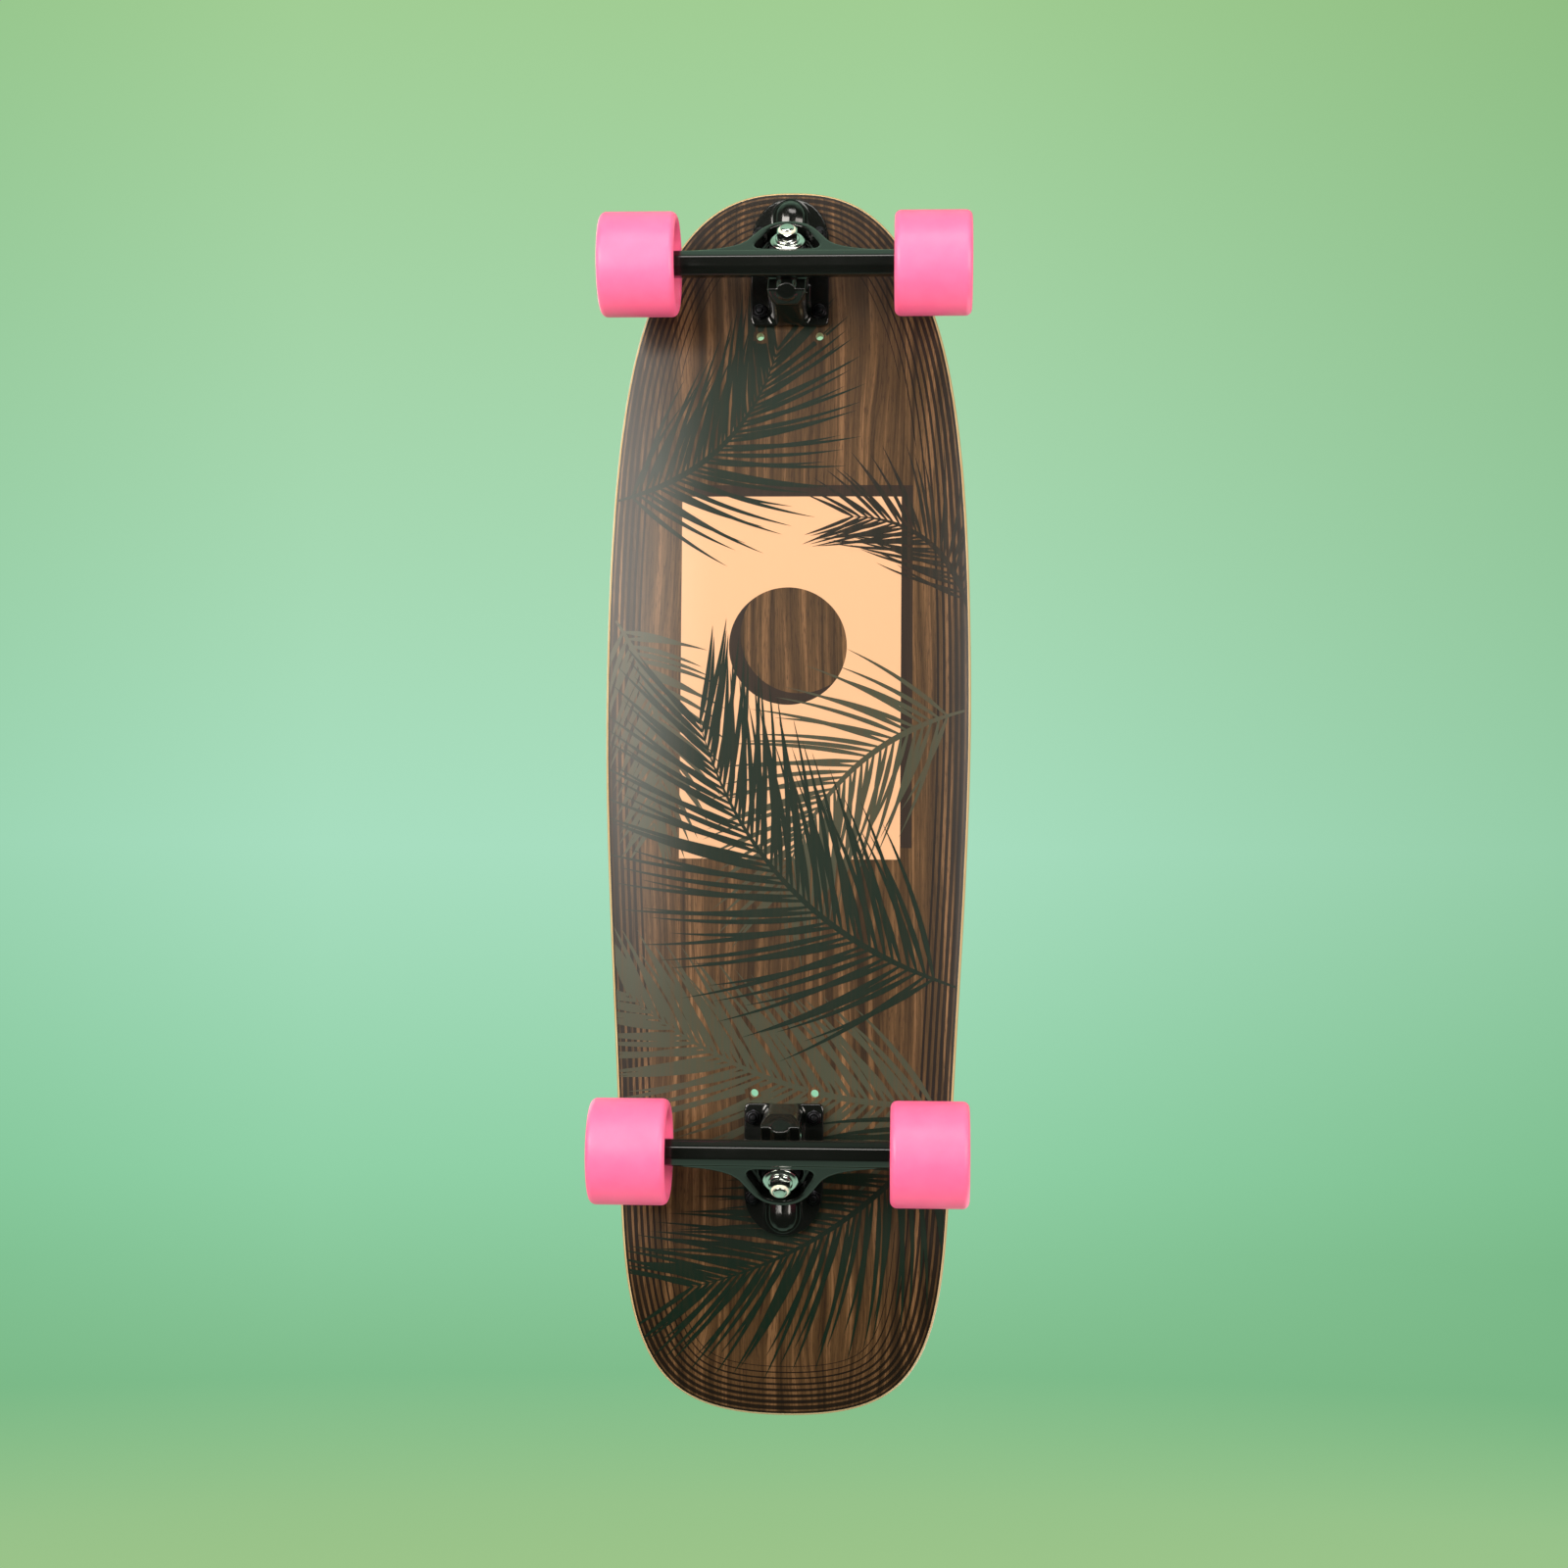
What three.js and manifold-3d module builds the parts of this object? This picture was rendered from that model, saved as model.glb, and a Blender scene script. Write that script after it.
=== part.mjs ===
// A cruiser skateboard standing on its four wheels: millimetres, +X to the nose, +Y to the
// rider's left, +Z up, origin on the ground below the middle of the board.
// Each truck is made in a truck frame whose origin is on the deck's underside at the middle of
// its bolt pattern, +X outboard and +Z away from the deck. Inside it, the steering frame has its
// origin at the middle of the hanger's bushing seat, +Z up the kingpin and -X along the
// steering axis to the pivot.
import * as THREE from 'three';
import { mergeVertices } from 'three/addons/utils/BufferGeometryUtils.js';
import Module from 'manifold-3d';

const wasm = await Module();
wasm.setup();

// Driving dimensions.
const GAP = 0.3;
const HALF_LENGTH = 424;
const HALF_WIDTH = 126.5;
const NOSE_TRUCK_X = 365;
const TAIL_TRUCK_X = -244;
const BOLT_HALF_LENGTH = 26.99;
const BOLT_HALF_WIDTH = 20.64;
const SPARE_HOLE_STEP = 15.9;
const DECK_SKIN = 0.8;
const DECK_CORE = 8.8;
const GLUE_LINE = 0.5;
const CONCAVE_FLAT = 50;
const CONCAVE_RISE = 7;
const KICK_START = -300;
const KICK_RADIUS = 200;
const KICK_ANGLE = THREE.MathUtils.degToRad(18);
const TIP_HALF_WIDTH = 6;

// Segments round a small screw, a turned part and a wheel.
const SMALL = 8;
const ROUND = 16;
const WHEEL = 28;

const WHEEL_RADIUS = 35;
const WHEEL_WIDTH = 52;
const WHEEL_Y = 99;
const LIP = 4.5;
const CORE_RADIUS = 17.5;
const BEARING = { outer: 11, bore: 4.25, width: 7, inner: 91, outerFace: 115 };

const AXLE = { x: -7.5, drop: 60, radius: 3.95, halfLength: 124 };
const SEAT = { x: -1, drop: 30.5 };
const LEAN = Math.PI / 4;
const HANGER = { flats: 17.2, halfLength: 90, seatRadius: 18.5, rim: 22, ringHole: 8 };
const PIVOT = { pin: 3.6, tip: 30, bore: 5.5, housing: 6.6, mouth: 20.3, end: 34 };
const PLATE = { inboard: -36.5, straightEnd: 22, outboard: 53, halfWidth: 27, thickness: 6, corner: 4 };
const SPINE = { radius: 13, start: [0, -3], end: [39, 1.5], depth: 10 };
// The tower: its half width, its back's heights, and the rod that rounds its back.
const TOWER = { halfWidth: 13, backFoot: 12, backTop: [-32, 46], shoulder: -15.2, lipLow: -11,
  crown: { radius: 15, x: -23.5, lean: 0.14 }, seatRadius: 14, socketRadius: 8 };
// The yoke between the tube and the bushing seat: slab heights, and its bosses.
const YOKE = { low: 9, armEnd: 76, armTip: -17.5, apex: 22.5, skirtTop: 12, bowlFloor: 12,
  seatBore: 14.7, skirtBore: 14.4, web: { x: -14.5, length: 9, width: 14, height: 10 } };
// The rounded triangle sunk into the yoke's road side.
const BOWL = { back: -14.5, halfWidth: 16, apex: 17.5 };
const KINGPIN = { radius: 4.76, hexFlats: 13, headTop: -27.5, headBottom: -33.5, end: 30 };

const BUSHING_END = 11;
const NUT = { flats: 13.4, flange: 8.2, crown: 6.6 };
const AXLE_NUT = { flats: 12.7, height: 6.5, clear: 1.3 };

// Heights up the kingpin, from the middle of the hanger's seat.
const STACK = {
  plateSeat: -22.3,
  boardWasher: [-22, -20],
  boardBushing: [-19.7, -4.3],
  ring: [-4, 4],
  roadBushing: [4.3, 18.2],
  roadWasher: [18.5, 20.5],
  nut: [20.8, 28.8],
};

const DECK_UNDERSIDE = WHEEL_RADIUS + AXLE.drop;
const CORE_BOTTOM = DECK_UNDERSIDE + DECK_SKIN + GLUE_LINE;
const CORE_TOP = CORE_BOTTOM + DECK_CORE;
const DECK_TOP = CORE_TOP + GLUE_LINE + DECK_SKIN;

const FINISH = {
  walnut: { color: 0x4a3528, roughness: 0.45, metalness: 0 },
  maple: { color: 0xd8b184, roughness: 0.5, metalness: 0 },
  grip: { color: 0x161616, roughness: 1, metalness: 0 },
  blackEnamel: { color: 0x0b0c0d, roughness: 0.2, metalness: 0.4 },
  zinc: { color: 0xc4c6c8, roughness: 0.3, metalness: 1 },
  steel: { color: 0x8e9194, roughness: 0.35, metalness: 1 },
  blackSteel: { color: 0x1a1a1c, roughness: 0.4, metalness: 0.8 },
  pinkUrethane: { color: 0xff5f99, roughness: 0.45, metalness: 0 },
  core: { color: 0xf2e9e4, roughness: 0.5, metalness: 0 },
  bushing: { color: 0x2b2b2e, roughness: 0.6, metalness: 0 },
};

const board = new THREE.Group();

function add(group, name, geometry, finish) {
  const mesh = new THREE.Mesh(geometry, new THREE.MeshStandardMaterial(FINISH[finish]));
  mesh.name = name;
  group.add(mesh);
  return mesh;
}

// Booleans: a closed geometry becomes a solid, and a solid becomes a geometry again.
function solid(geometry) {
  const bare = geometry.clone();
  bare.deleteAttribute('normal');
  bare.deleteAttribute('uv');
  const merged = mergeVertices(bare, 1e-4);
  return new wasm.Manifold(new wasm.Mesh({
    numProp: 3,
    vertProperties: new Float32Array(merged.attributes.position.array),
    triVerts: new Uint32Array(merged.index.array),
  }));
}

function geometryOf(body) {
  const mesh = body.getMesh();
  const geometry = new THREE.BufferGeometry();
  geometry.setAttribute('position', new THREE.BufferAttribute(mesh.vertProperties, 3));
  geometry.setIndex(new THREE.BufferAttribute(mesh.triVerts, 1));
  geometry.computeVertexNormals();
  return geometry;
}

const join = (pieces) => pieces.map(solid).reduce((whole, piece) => whole.add(piece));
const cut = (body, tools) => tools.map(solid).reduce((whole, tool) => whole.subtract(tool), body);

// Turned and extruded stock.
function lathe(profile, segments) {
  const points = profile.map(([radius, height]) => new THREE.Vector2(radius, height));
  const turned = new THREE.LatheGeometry(points, segments);
  return turned.rotateX(Math.PI / 2);
}

const rod = (radius, low, high, segments = 24) => lathe(
  [[0, low], [radius, low], [radius, high], [0, high]], segments);

const ring = (inner, outer, low, high, segments = 24) => lathe(
  [[inner, low], [outer, low], [outer, high], [inner, high], [inner, low]], segments);

function slab(shape, low, high, curveSegments = 8) {
  const settings = { depth: high - low, bevelEnabled: false, curveSegments };
  return new THREE.ExtrudeGeometry(shape, settings).translate(0, 0, low);
}

// A side profile in X and Z, given a width along Y.
function sideSlab(points, halfWidth) {
  const shape = new THREE.Shape(points.map(([x, z]) => new THREE.Vector2(x, z)));
  return slab(shape, -halfWidth, halfWidth).rotateX(Math.PI / 2);
}

function hexagon(flats, holeRadius) {
  const corner = flats / Math.sqrt(3);
  const corners = Array.from({ length: 6 }, (_, i) => new THREE.Vector2(
    corner * Math.cos(i * Math.PI / 3), corner * Math.sin(i * Math.PI / 3)));
  const shape = new THREE.Shape(corners);
  if (holeRadius) shape.holes.push(new THREE.Path().absarc(0, 0, holeRadius, 0, 2 * Math.PI));
  return shape;
}

// Half an outline, drawn from one end of its X axis to the other, closed by its mirror image.
function mirrored(half, divisions) {
  const side = half.getPoints(divisions);
  const other = side.slice(1, -1).reverse().map((p) => new THREE.Vector2(p.x, -p.y));
  return new THREE.Shape([...side, ...other]);
}

// Deck: one outline, one warp, three bonded layers.
function deckOutline() {
  return new THREE.Path()
    .moveTo(-HALF_LENGTH, 0)
    .bezierCurveTo(-HALF_LENGTH, 100, -377, 109, -236, 114)
    .bezierCurveTo(-153, 117, -37, HALF_WIDTH, 62, HALF_WIDTH)
    .bezierCurveTo(258, HALF_WIDTH, 319, 109.7, 357.5, 92.5)
    .bezierCurveTo(421.5, 64, HALF_LENGTH, 26, HALF_LENGTH, 0);
}

function kickRise(x) {
  const run = Math.max(0, KICK_START - x);
  const bend = KICK_RADIUS * Math.sin(KICK_ANGLE);
  if (run < bend) return KICK_RADIUS - Math.sqrt(KICK_RADIUS ** 2 - run ** 2);
  return KICK_RADIUS * (1 - Math.cos(KICK_ANGLE)) + (run - bend) * Math.tan(KICK_ANGLE);
}

function concaveRise(y) {
  const reach = Math.max(0, Math.abs(y) - CONCAVE_FLAT) / (HALF_WIDTH - CONCAVE_FLAT);
  return CONCAVE_RISE * reach ** 2;
}

function deckLayer(low, high) {
  const stations = deckOutline().getPoints(8);
  const lengthwise = stations.length - 1;
  const layer = new THREE.BoxGeometry(1, 1, 1, lengthwise, 6, 1);
  const place = layer.attributes.position;
  for (let i = 0; i < place.count; i += 1) {
    const station = stations[Math.round((place.getX(i) + 0.5) * lengthwise)];
    const halfWidth = Math.max(TIP_HALF_WIDTH, station.y);
    const y = 2 * place.getY(i) * halfWidth;
    const base = place.getZ(i) < 0 ? low : high;
    place.setXYZ(i, station.x, y, base + kickRise(station.x) + concaveRise(y));
  }
  return layer;
}

const BOLT = { radius: 2.4, head: 4.6, headDepth: 2.4, end: 14, inset: 0.1 };
const LOCK_NUT = { flats: 9.5, height: 5.8 };

function boltProfile(clearance) {
  const radius = BOLT.radius + clearance;
  const head = BOLT.head + clearance;
  const top = DECK_TOP - BOLT.inset;
  return [
    [0, DECK_UNDERSIDE - BOLT.end], [radius, DECK_UNDERSIDE - BOLT.end],
    [radius, top - BOLT.headDepth - clearance], [head, top - clearance],
    [head, top + 2 * clearance], [0, top + 2 * clearance],
  ];
}

const TRUCKS = [
  { name: 'front', x: NOSE_TRUCK_X, outboard: 1 },
  { name: 'rear', x: TAIL_TRUCK_X, outboard: -1 },
];
const CORNERS = [
  { name: 'inner_left', x: -1, y: 1 }, { name: 'inner_right', x: -1, y: -1 },
  { name: 'outer_left', x: 1, y: 1 }, { name: 'outer_right', x: 1, y: -1 },
];
const boltSpots = TRUCKS.flatMap((truck) => CORNERS.map((corner) => ({
  name: `${truck.name}_${corner.name}`,
  x: truck.x + truck.outboard * corner.x * BOLT_HALF_LENGTH,
  y: corner.y * BOLT_HALF_WIDTH,
  spareX: truck.x + truck.outboard * (corner.x * BOLT_HALF_LENGTH - SPARE_HOLE_STEP),
})));

function drilled(layer) {
  const bolts = boltSpots.map(({ x, y }) => lathe(boltProfile(GAP), SMALL).translate(x, y, 0));
  const spares = boltSpots.map(({ spareX, y }) => rod(
    BOLT.radius + GAP, DECK_UNDERSIDE - 5, DECK_TOP + 5, SMALL).translate(spareX, y, 0));
  return geometryOf(cut(solid(layer), [...bolts, ...spares]));
}

function makeDeck() {
  add(board, 'deck_core', drilled(deckLayer(CORE_BOTTOM, CORE_TOP)), 'maple');
  add(board, 'bottom_veneer',
    drilled(deckLayer(DECK_UNDERSIDE, DECK_UNDERSIDE + DECK_SKIN)), 'walnut');
  add(board, 'grip_tape', drilled(deckLayer(DECK_TOP - DECK_SKIN, DECK_TOP)), 'grip');
}

function makeHardware() {
  const nutTop = DECK_UNDERSIDE - PLATE.thickness - GAP;
  for (const spot of boltSpots) {
    const bolt = lathe(boltProfile(0), SMALL);
    add(board, `bolt_${spot.name}`, bolt, 'blackSteel').position.set(spot.x, spot.y, 0);
    const nut = slab(hexagon(LOCK_NUT.flats, BOLT.radius + GAP), nutTop - LOCK_NUT.height, nutTop, 4);
    add(board, `lock_nut_${spot.name}`, nut, 'blackSteel').position.set(spot.x, spot.y, 0);
  }
}

// Truck frames.
const steering = new THREE.Matrix4().makeRotationY(LEAN).setPosition(SEAT.x, 0, SEAT.drop);
const axleInSteering = new THREE.Vector3(AXLE.x, 0, AXLE.drop)
  .applyMatrix4(steering.clone().invert());
const pivotRod = (radius, from, to, segments = 20) => rod(radius, from, to, segments)
  .rotateY(-Math.PI / 2);

function plateOutline() {
  const { inboard, straightEnd, outboard, halfWidth, corner } = PLATE;
  const half = new THREE.Path().moveTo(inboard, 0)
    .lineTo(inboard, halfWidth - corner)
    .quadraticCurveTo(inboard, halfWidth, inboard + corner, halfWidth)
    .lineTo(straightEnd, halfWidth)
    .bezierCurveTo(straightEnd + 18, halfWidth, outboard, 15, outboard, 0);
  return mirrored(half, 8);
}

// The leaning tower that holds the pivot cup, drawn in the steering frame's X and Z.
function towerProfile() {
  const { backFoot, backTop, shoulder, lipLow, seatRadius } = TOWER;
  const back = [[PLATE.inboard, GAP], [PLATE.inboard, backFoot], backTop];
  const front = [[-PIVOT.end, 2], [-PIVOT.mouth, 2], [-PIVOT.mouth, lipLow], [shoulder, lipLow],
    [shoulder, STACK.plateSeat], [seatRadius + 1, STACK.plateSeat]];
  const points = front.map(([x, z]) => {
    const place = new THREE.Vector3(x, 0, z).applyMatrix4(steering);
    return [place.x, place.z];
  });
  return [...back, ...points, [points.at(-1)[0], GAP]];
}

function spine() {
  const [x0, z0] = SPINE.start;
  const [x1, z1] = SPINE.end;
  const length = Math.hypot(x1 - x0, z1 - z0);
  const side = new THREE.Path().moveTo(0, -SPINE.depth).lineTo(SPINE.radius, -SPINE.depth)
    .lineTo(SPINE.radius, length).absarc(0, length, SPINE.radius, 0, Math.PI / 2);
  const profile = side.getPoints(3).map((p) => [p.x, p.y]);
  profile[profile.length - 1][0] = 0;
  return lathe(profile, ROUND).rotateY(Math.atan2(x1 - x0, z1 - z0)).translate(x0, 0, z0);
}

function baseplate() {
  const leaning = (geometry) => geometry.applyMatrix4(steering);
  const { halfWidth, crown, seatRadius, socketRadius } = TOWER;
  const back = solid(rod(crown.radius, -40, 90, 24).rotateY(crown.lean)
    .translate(crown.x, 0, TOWER.backFoot));
  const foot = solid(rod(40, 0, 60, 8).translate(18, 0, 0));
  const body = solid(sideSlab(towerProfile(), halfWidth)).intersect(back.add(foot))
    .add(solid(leaning(pivotRod(PIVOT.housing, PIVOT.mouth, PIVOT.end))))
    .add(solid(slab(plateOutline(), GAP, PLATE.thickness)))
    .add(solid(spine()));
  const insideDeck = rod(90, -60, GAP, 8);
  const holes = CORNERS.map((corner) => rod(BOLT.radius + GAP, -5, 20, SMALL)
    .translate(corner.x * BOLT_HALF_LENGTH, corner.y * BOLT_HALF_WIDTH, 0));
  return geometryOf(cut(body, [
    insideDeck, ...holes,
    leaning(pivotRod(PIVOT.bore, 10, PIVOT.tip + 1.6)),
    leaning(rod(KINGPIN.radius + GAP, -40, STACK.plateSeat + 1, 16)),
    leaning(rod(seatRadius, STACK.plateSeat, -5, 20)),
    leaning(rod(socketRadius, -60, KINGPIN.headTop + GAP, ROUND)),
  ]));
}

function pivotCup() {
  const outer = PIVOT.bore - GAP;
  const inner = PIVOT.pin + GAP;
  const low = PIVOT.mouth + 0.2;
  const floor = PIVOT.tip + GAP;
  const high = PIVOT.tip + 1.3;
  return lathe([[inner, low], [outer, low], [outer, high], [0, high], [0, floor],
    [inner, floor], [inner, low]], 16).rotateY(-Math.PI / 2);
}

function yokeOutline() {
  const { armEnd, armTip, apex } = YOKE;
  const half = new THREE.Path().moveTo(axleInSteering.x, 0).lineTo(axleInSteering.x, armEnd)
    .lineTo(armTip, armEnd)
    .bezierCurveTo(armTip + 2, 50, -13, 35, -4, 28)
    .lineTo(10, 20)
    .bezierCurveTo(17, 16, apex, 9, apex, 0);
  return mirrored(half, 6);
}

function bowlOutline() {
  const { back, halfWidth, apex } = BOWL;
  const half = new THREE.Path().moveTo(back, 0).lineTo(back, halfWidth)
    .bezierCurveTo(back, 22, -10, 23.5, -5, 21)
    .lineTo(9.5, 14.5)
    .bezierCurveTo(14.5, 12, apex, 6.5, apex, 0);
  return mirrored(half, 4);
}

function hanger() {
  const { web } = YOKE;
  const tube = rod(HANGER.flats / 2 / Math.cos(Math.PI / 8), -HANGER.halfLength,
    HANGER.halfLength, 8).rotateZ(Math.PI / 8).rotateX(Math.PI / 2)
    .translate(axleInSteering.x, 0, axleInSteering.z);
  const body = join([
    tube,
    slab(yokeOutline(), YOKE.low, HANGER.rim),
    rod(HANGER.seatRadius, STACK.ring[0], YOKE.skirtTop, 24),
    lathe([[0, 8], [9, 8], [4.4, 19.6], [PIVOT.pin, 19.8], [PIVOT.pin, PIVOT.tip - 1.5],
      [PIVOT.pin - 1.5, PIVOT.tip], [0, PIVOT.tip]], 16).rotateY(-Math.PI / 2),
    new THREE.BoxGeometry(web.length, web.width, web.height).translate(web.x, 0, web.height / 2),
  ]);
  return geometryOf(cut(body, [
    rod(YOKE.seatBore, STACK.ring[1], 40, 20),
    slab(bowlOutline(), YOKE.bowlFloor, 40),
    rod(HANGER.ringHole, -30, 30, ROUND),
    rod(YOKE.skirtBore, -30, STACK.ring[0], 20),
    rod(AXLE.radius + GAP, -99, 99, 16).rotateX(Math.PI / 2)
      .translate(axleInSteering.x, 0, axleInSteering.z),
  ]));
}

function kingpin() {
  const shank = rod(KINGPIN.radius, KINGPIN.headTop - 1, KINGPIN.end, 16);
  return geometryOf(join([
    slab(hexagon(KINGPIN.hexFlats), KINGPIN.headBottom, KINGPIN.headTop), shank]));
}

function kingpinNut() {
  const [low, high] = STACK.nut;
  const bore = KINGPIN.radius + GAP;
  const flange = lathe([[bore, low], [NUT.flange, low], [NUT.flange, low + 1],
    [NUT.crown, low + 2.2], [bore, low + 2.2], [bore, low]], ROUND);
  return geometryOf(join([flange, slab(hexagon(NUT.flats, bore), low + 1, high - 0.6, 6)]));
}

function bushing([low, high], bulge) {
  const bore = KINGPIN.radius + GAP;
  const middle = (low + high) / 2;
  return lathe([[bore, low], [BUSHING_END, low], [BUSHING_END, low + 2], [bulge, middle],
    [BUSHING_END, high - 2], [BUSHING_END, high], [bore, high], [bore, low]], ROUND);
}

function cupWasher([low, high]) {
  const bore = KINGPIN.radius + GAP;
  return lathe([[bore, low + 0.5], [11.5, low + 0.5], [11.7, low - 1], [12.3, low - 1],
    [11.8, high - 0.5], [10.8, high], [bore, high], [bore, low + 0.5]], ROUND);
}

// Wheels turn about Y; heights here run outboard from the deck's centre line.
function wheelTyre() {
  const half = WHEEL_WIDTH / 2;
  const seat = CORE_RADIUS + GAP;
  const lips = new THREE.Path().moveTo(seat, BEARING.inner - 1 - WHEEL_Y)
    .lineTo(21, -14).lineTo(28, -half)
    .absarc(WHEEL_RADIUS - LIP, -half + LIP, LIP, -Math.PI / 2, 0)
    .absarc(WHEEL_RADIUS - LIP, half - LIP, LIP, 0, Math.PI / 2)
    .lineTo(28, half)
    .lineTo(seat, BEARING.outerFace + 1 - WHEEL_Y)
    .lineTo(seat, BEARING.inner - 1 - WHEEL_Y);
  return lathe(lips.getPoints(2).map((p) => [p.x, p.y]), WHEEL);
}

function wheelCore() {
  const low = BEARING.inner - 1 - WHEEL_Y;
  const high = BEARING.outerFace + 1 - WHEEL_Y;
  const race = BEARING.outer + GAP;
  const shoulderLow = low + 1 + BEARING.width + GAP;
  const shoulderHigh = high - 1 - BEARING.width - GAP;
  return lathe([[race, low], [CORE_RADIUS, low], [CORE_RADIUS, high], [race, high],
    [race, shoulderHigh], [9, shoulderHigh], [9, shoulderLow], [race, shoulderLow],
    [race, low]], 20);
}

function bearing(low) {
  const high = low + BEARING.width;
  return ring(BEARING.bore, BEARING.outer, low, high, ROUND);
}

function makeWheel(truck, name, side) {
  const wheel = new THREE.Group();
  wheel.position.set(AXLE.x, side * WHEEL_Y, AXLE.drop);
  wheel.rotation.x = -side * Math.PI / 2;
  truck.add(wheel);
  add(wheel, `${name}_wheel_tyre`, wheelTyre(), 'pinkUrethane');
  add(wheel, `${name}_wheel_core`, wheelCore(), 'core');
  add(wheel, `${name}_inner_bearing`, bearing(BEARING.inner - WHEEL_Y), 'steel');
  add(wheel, `${name}_outer_bearing`,
    bearing(BEARING.outerFace - BEARING.width - WHEEL_Y), 'steel');
  const nutLow = BEARING.outerFace + AXLE_NUT.clear - WHEEL_Y;
  const axleNut = slab(hexagon(AXLE_NUT.flats, BEARING.bore), nutLow, nutLow + AXLE_NUT.height, 6);
  add(wheel, `${name}_axle_nut`, axleNut, 'zinc');
}

function makeTruck({ name, x, outboard }) {
  const truck = new THREE.Group();
  truck.position.set(x, 0, DECK_UNDERSIDE);
  if (outboard > 0) truck.rotation.x = Math.PI;
  else truck.rotation.y = Math.PI;
  board.add(truck);
  add(truck, `${name}_baseplate`, baseplate(), 'blackEnamel');

  const steered = new THREE.Group();
  steered.applyMatrix4(steering);
  truck.add(steered);
  add(steered, `${name}_pivot_cup`, pivotCup(), 'bushing');
  add(steered, `${name}_kingpin`, kingpin(), 'zinc');
  add(steered, `${name}_board_washer`,
    ring(KINGPIN.radius + GAP, 12.5, ...STACK.boardWasher, ROUND), 'zinc');
  add(steered, `${name}_board_bushing`, bushing(STACK.boardBushing, 13.6), 'bushing');
  add(steered, `${name}_hanger`, hanger(), 'blackEnamel');
  add(steered, `${name}_road_bushing`, bushing(STACK.roadBushing, 13.4), 'bushing');
  add(steered, `${name}_road_washer`, cupWasher(STACK.roadWasher), 'zinc');
  add(steered, `${name}_kingpin_nut`, kingpinNut(), 'zinc');

  const axle = rod(AXLE.radius, -AXLE.halfLength, AXLE.halfLength, 16).rotateX(Math.PI / 2);
  add(truck, `${name}_axle`, axle, 'steel').position.set(AXLE.x, 0, AXLE.drop);
  // The front truck is turned over about X and the rear one about Y, so their sides differ.
  const left = outboard > 0 ? -1 : 1;
  makeWheel(truck, `${name}_left`, left);
  makeWheel(truck, `${name}_right`, -left);
}

makeDeck();
makeHardware();
TRUCKS.forEach(makeTruck);

export default board;
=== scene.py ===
"""A cruiser skateboard's looks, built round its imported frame.

Metres, +X to the nose, +Y to the rider's left, +Z up, the origin on the ground under the middle.
"""

import bisect
import logging
import math
from collections.abc import Callable, Sequence
from dataclasses import dataclass
from enum import Enum

import bmesh
import bpy
from mathutils import Matrix, Vector, kdtree
from mathutils.geometry import closest_point_on_tri


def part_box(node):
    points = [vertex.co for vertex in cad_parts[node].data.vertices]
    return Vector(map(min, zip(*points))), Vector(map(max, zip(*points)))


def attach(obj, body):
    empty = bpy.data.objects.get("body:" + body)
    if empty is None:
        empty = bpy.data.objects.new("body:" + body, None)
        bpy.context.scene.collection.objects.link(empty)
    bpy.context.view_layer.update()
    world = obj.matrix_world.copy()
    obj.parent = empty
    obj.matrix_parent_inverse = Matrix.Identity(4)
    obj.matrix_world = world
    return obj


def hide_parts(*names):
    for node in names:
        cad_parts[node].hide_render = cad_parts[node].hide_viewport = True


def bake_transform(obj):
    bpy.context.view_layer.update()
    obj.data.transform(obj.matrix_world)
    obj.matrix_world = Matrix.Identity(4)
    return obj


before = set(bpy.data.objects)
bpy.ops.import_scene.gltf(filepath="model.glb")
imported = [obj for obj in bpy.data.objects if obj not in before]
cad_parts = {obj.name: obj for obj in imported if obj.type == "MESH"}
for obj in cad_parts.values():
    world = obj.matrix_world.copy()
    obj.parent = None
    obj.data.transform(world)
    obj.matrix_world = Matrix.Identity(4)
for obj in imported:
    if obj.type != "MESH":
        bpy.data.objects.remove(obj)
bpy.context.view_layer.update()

LOG = logging.getLogger("skateboard")
MM = 0.001
WELD = 1e-6
Socket = bpy.types.NodeSocket
Profile = Sequence[tuple[float, float]]
Row = Callable[[float], tuple[float, float, float]]
COLOURS = {"out": 2, "data_type": "RGBA"}  # what a Mix node needs to blend colours
# A thin satin lacquer, which mirrors a soft box at a glance and is dull from in front.
LACQUER = {"Roughness": 0.5, "Specular IOR Level": 0.1, "Coat Weight": 0.32, "Coat Roughness": 0.27}


# ---------------------------------------------------------------- shader helpers
def linear(hex_colour: str) -> tuple[float, float, float, float]:
    """Turns an sRGB hex colour to a linear one.

    Args:
        hex_colour: Six hex digits after a hash.

    Returns:
        Red, green, blue and an alpha of one.
    """
    parts = [int(hex_colour[i : i + 2], 16) / 255 for i in (1, 3, 5)]
    made = [p / 12.92 if p <= 0.04045 else ((p + 0.055) / 1.055) ** 2.4 for p in parts]
    return (made[0], made[1], made[2], 1.0)


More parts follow.
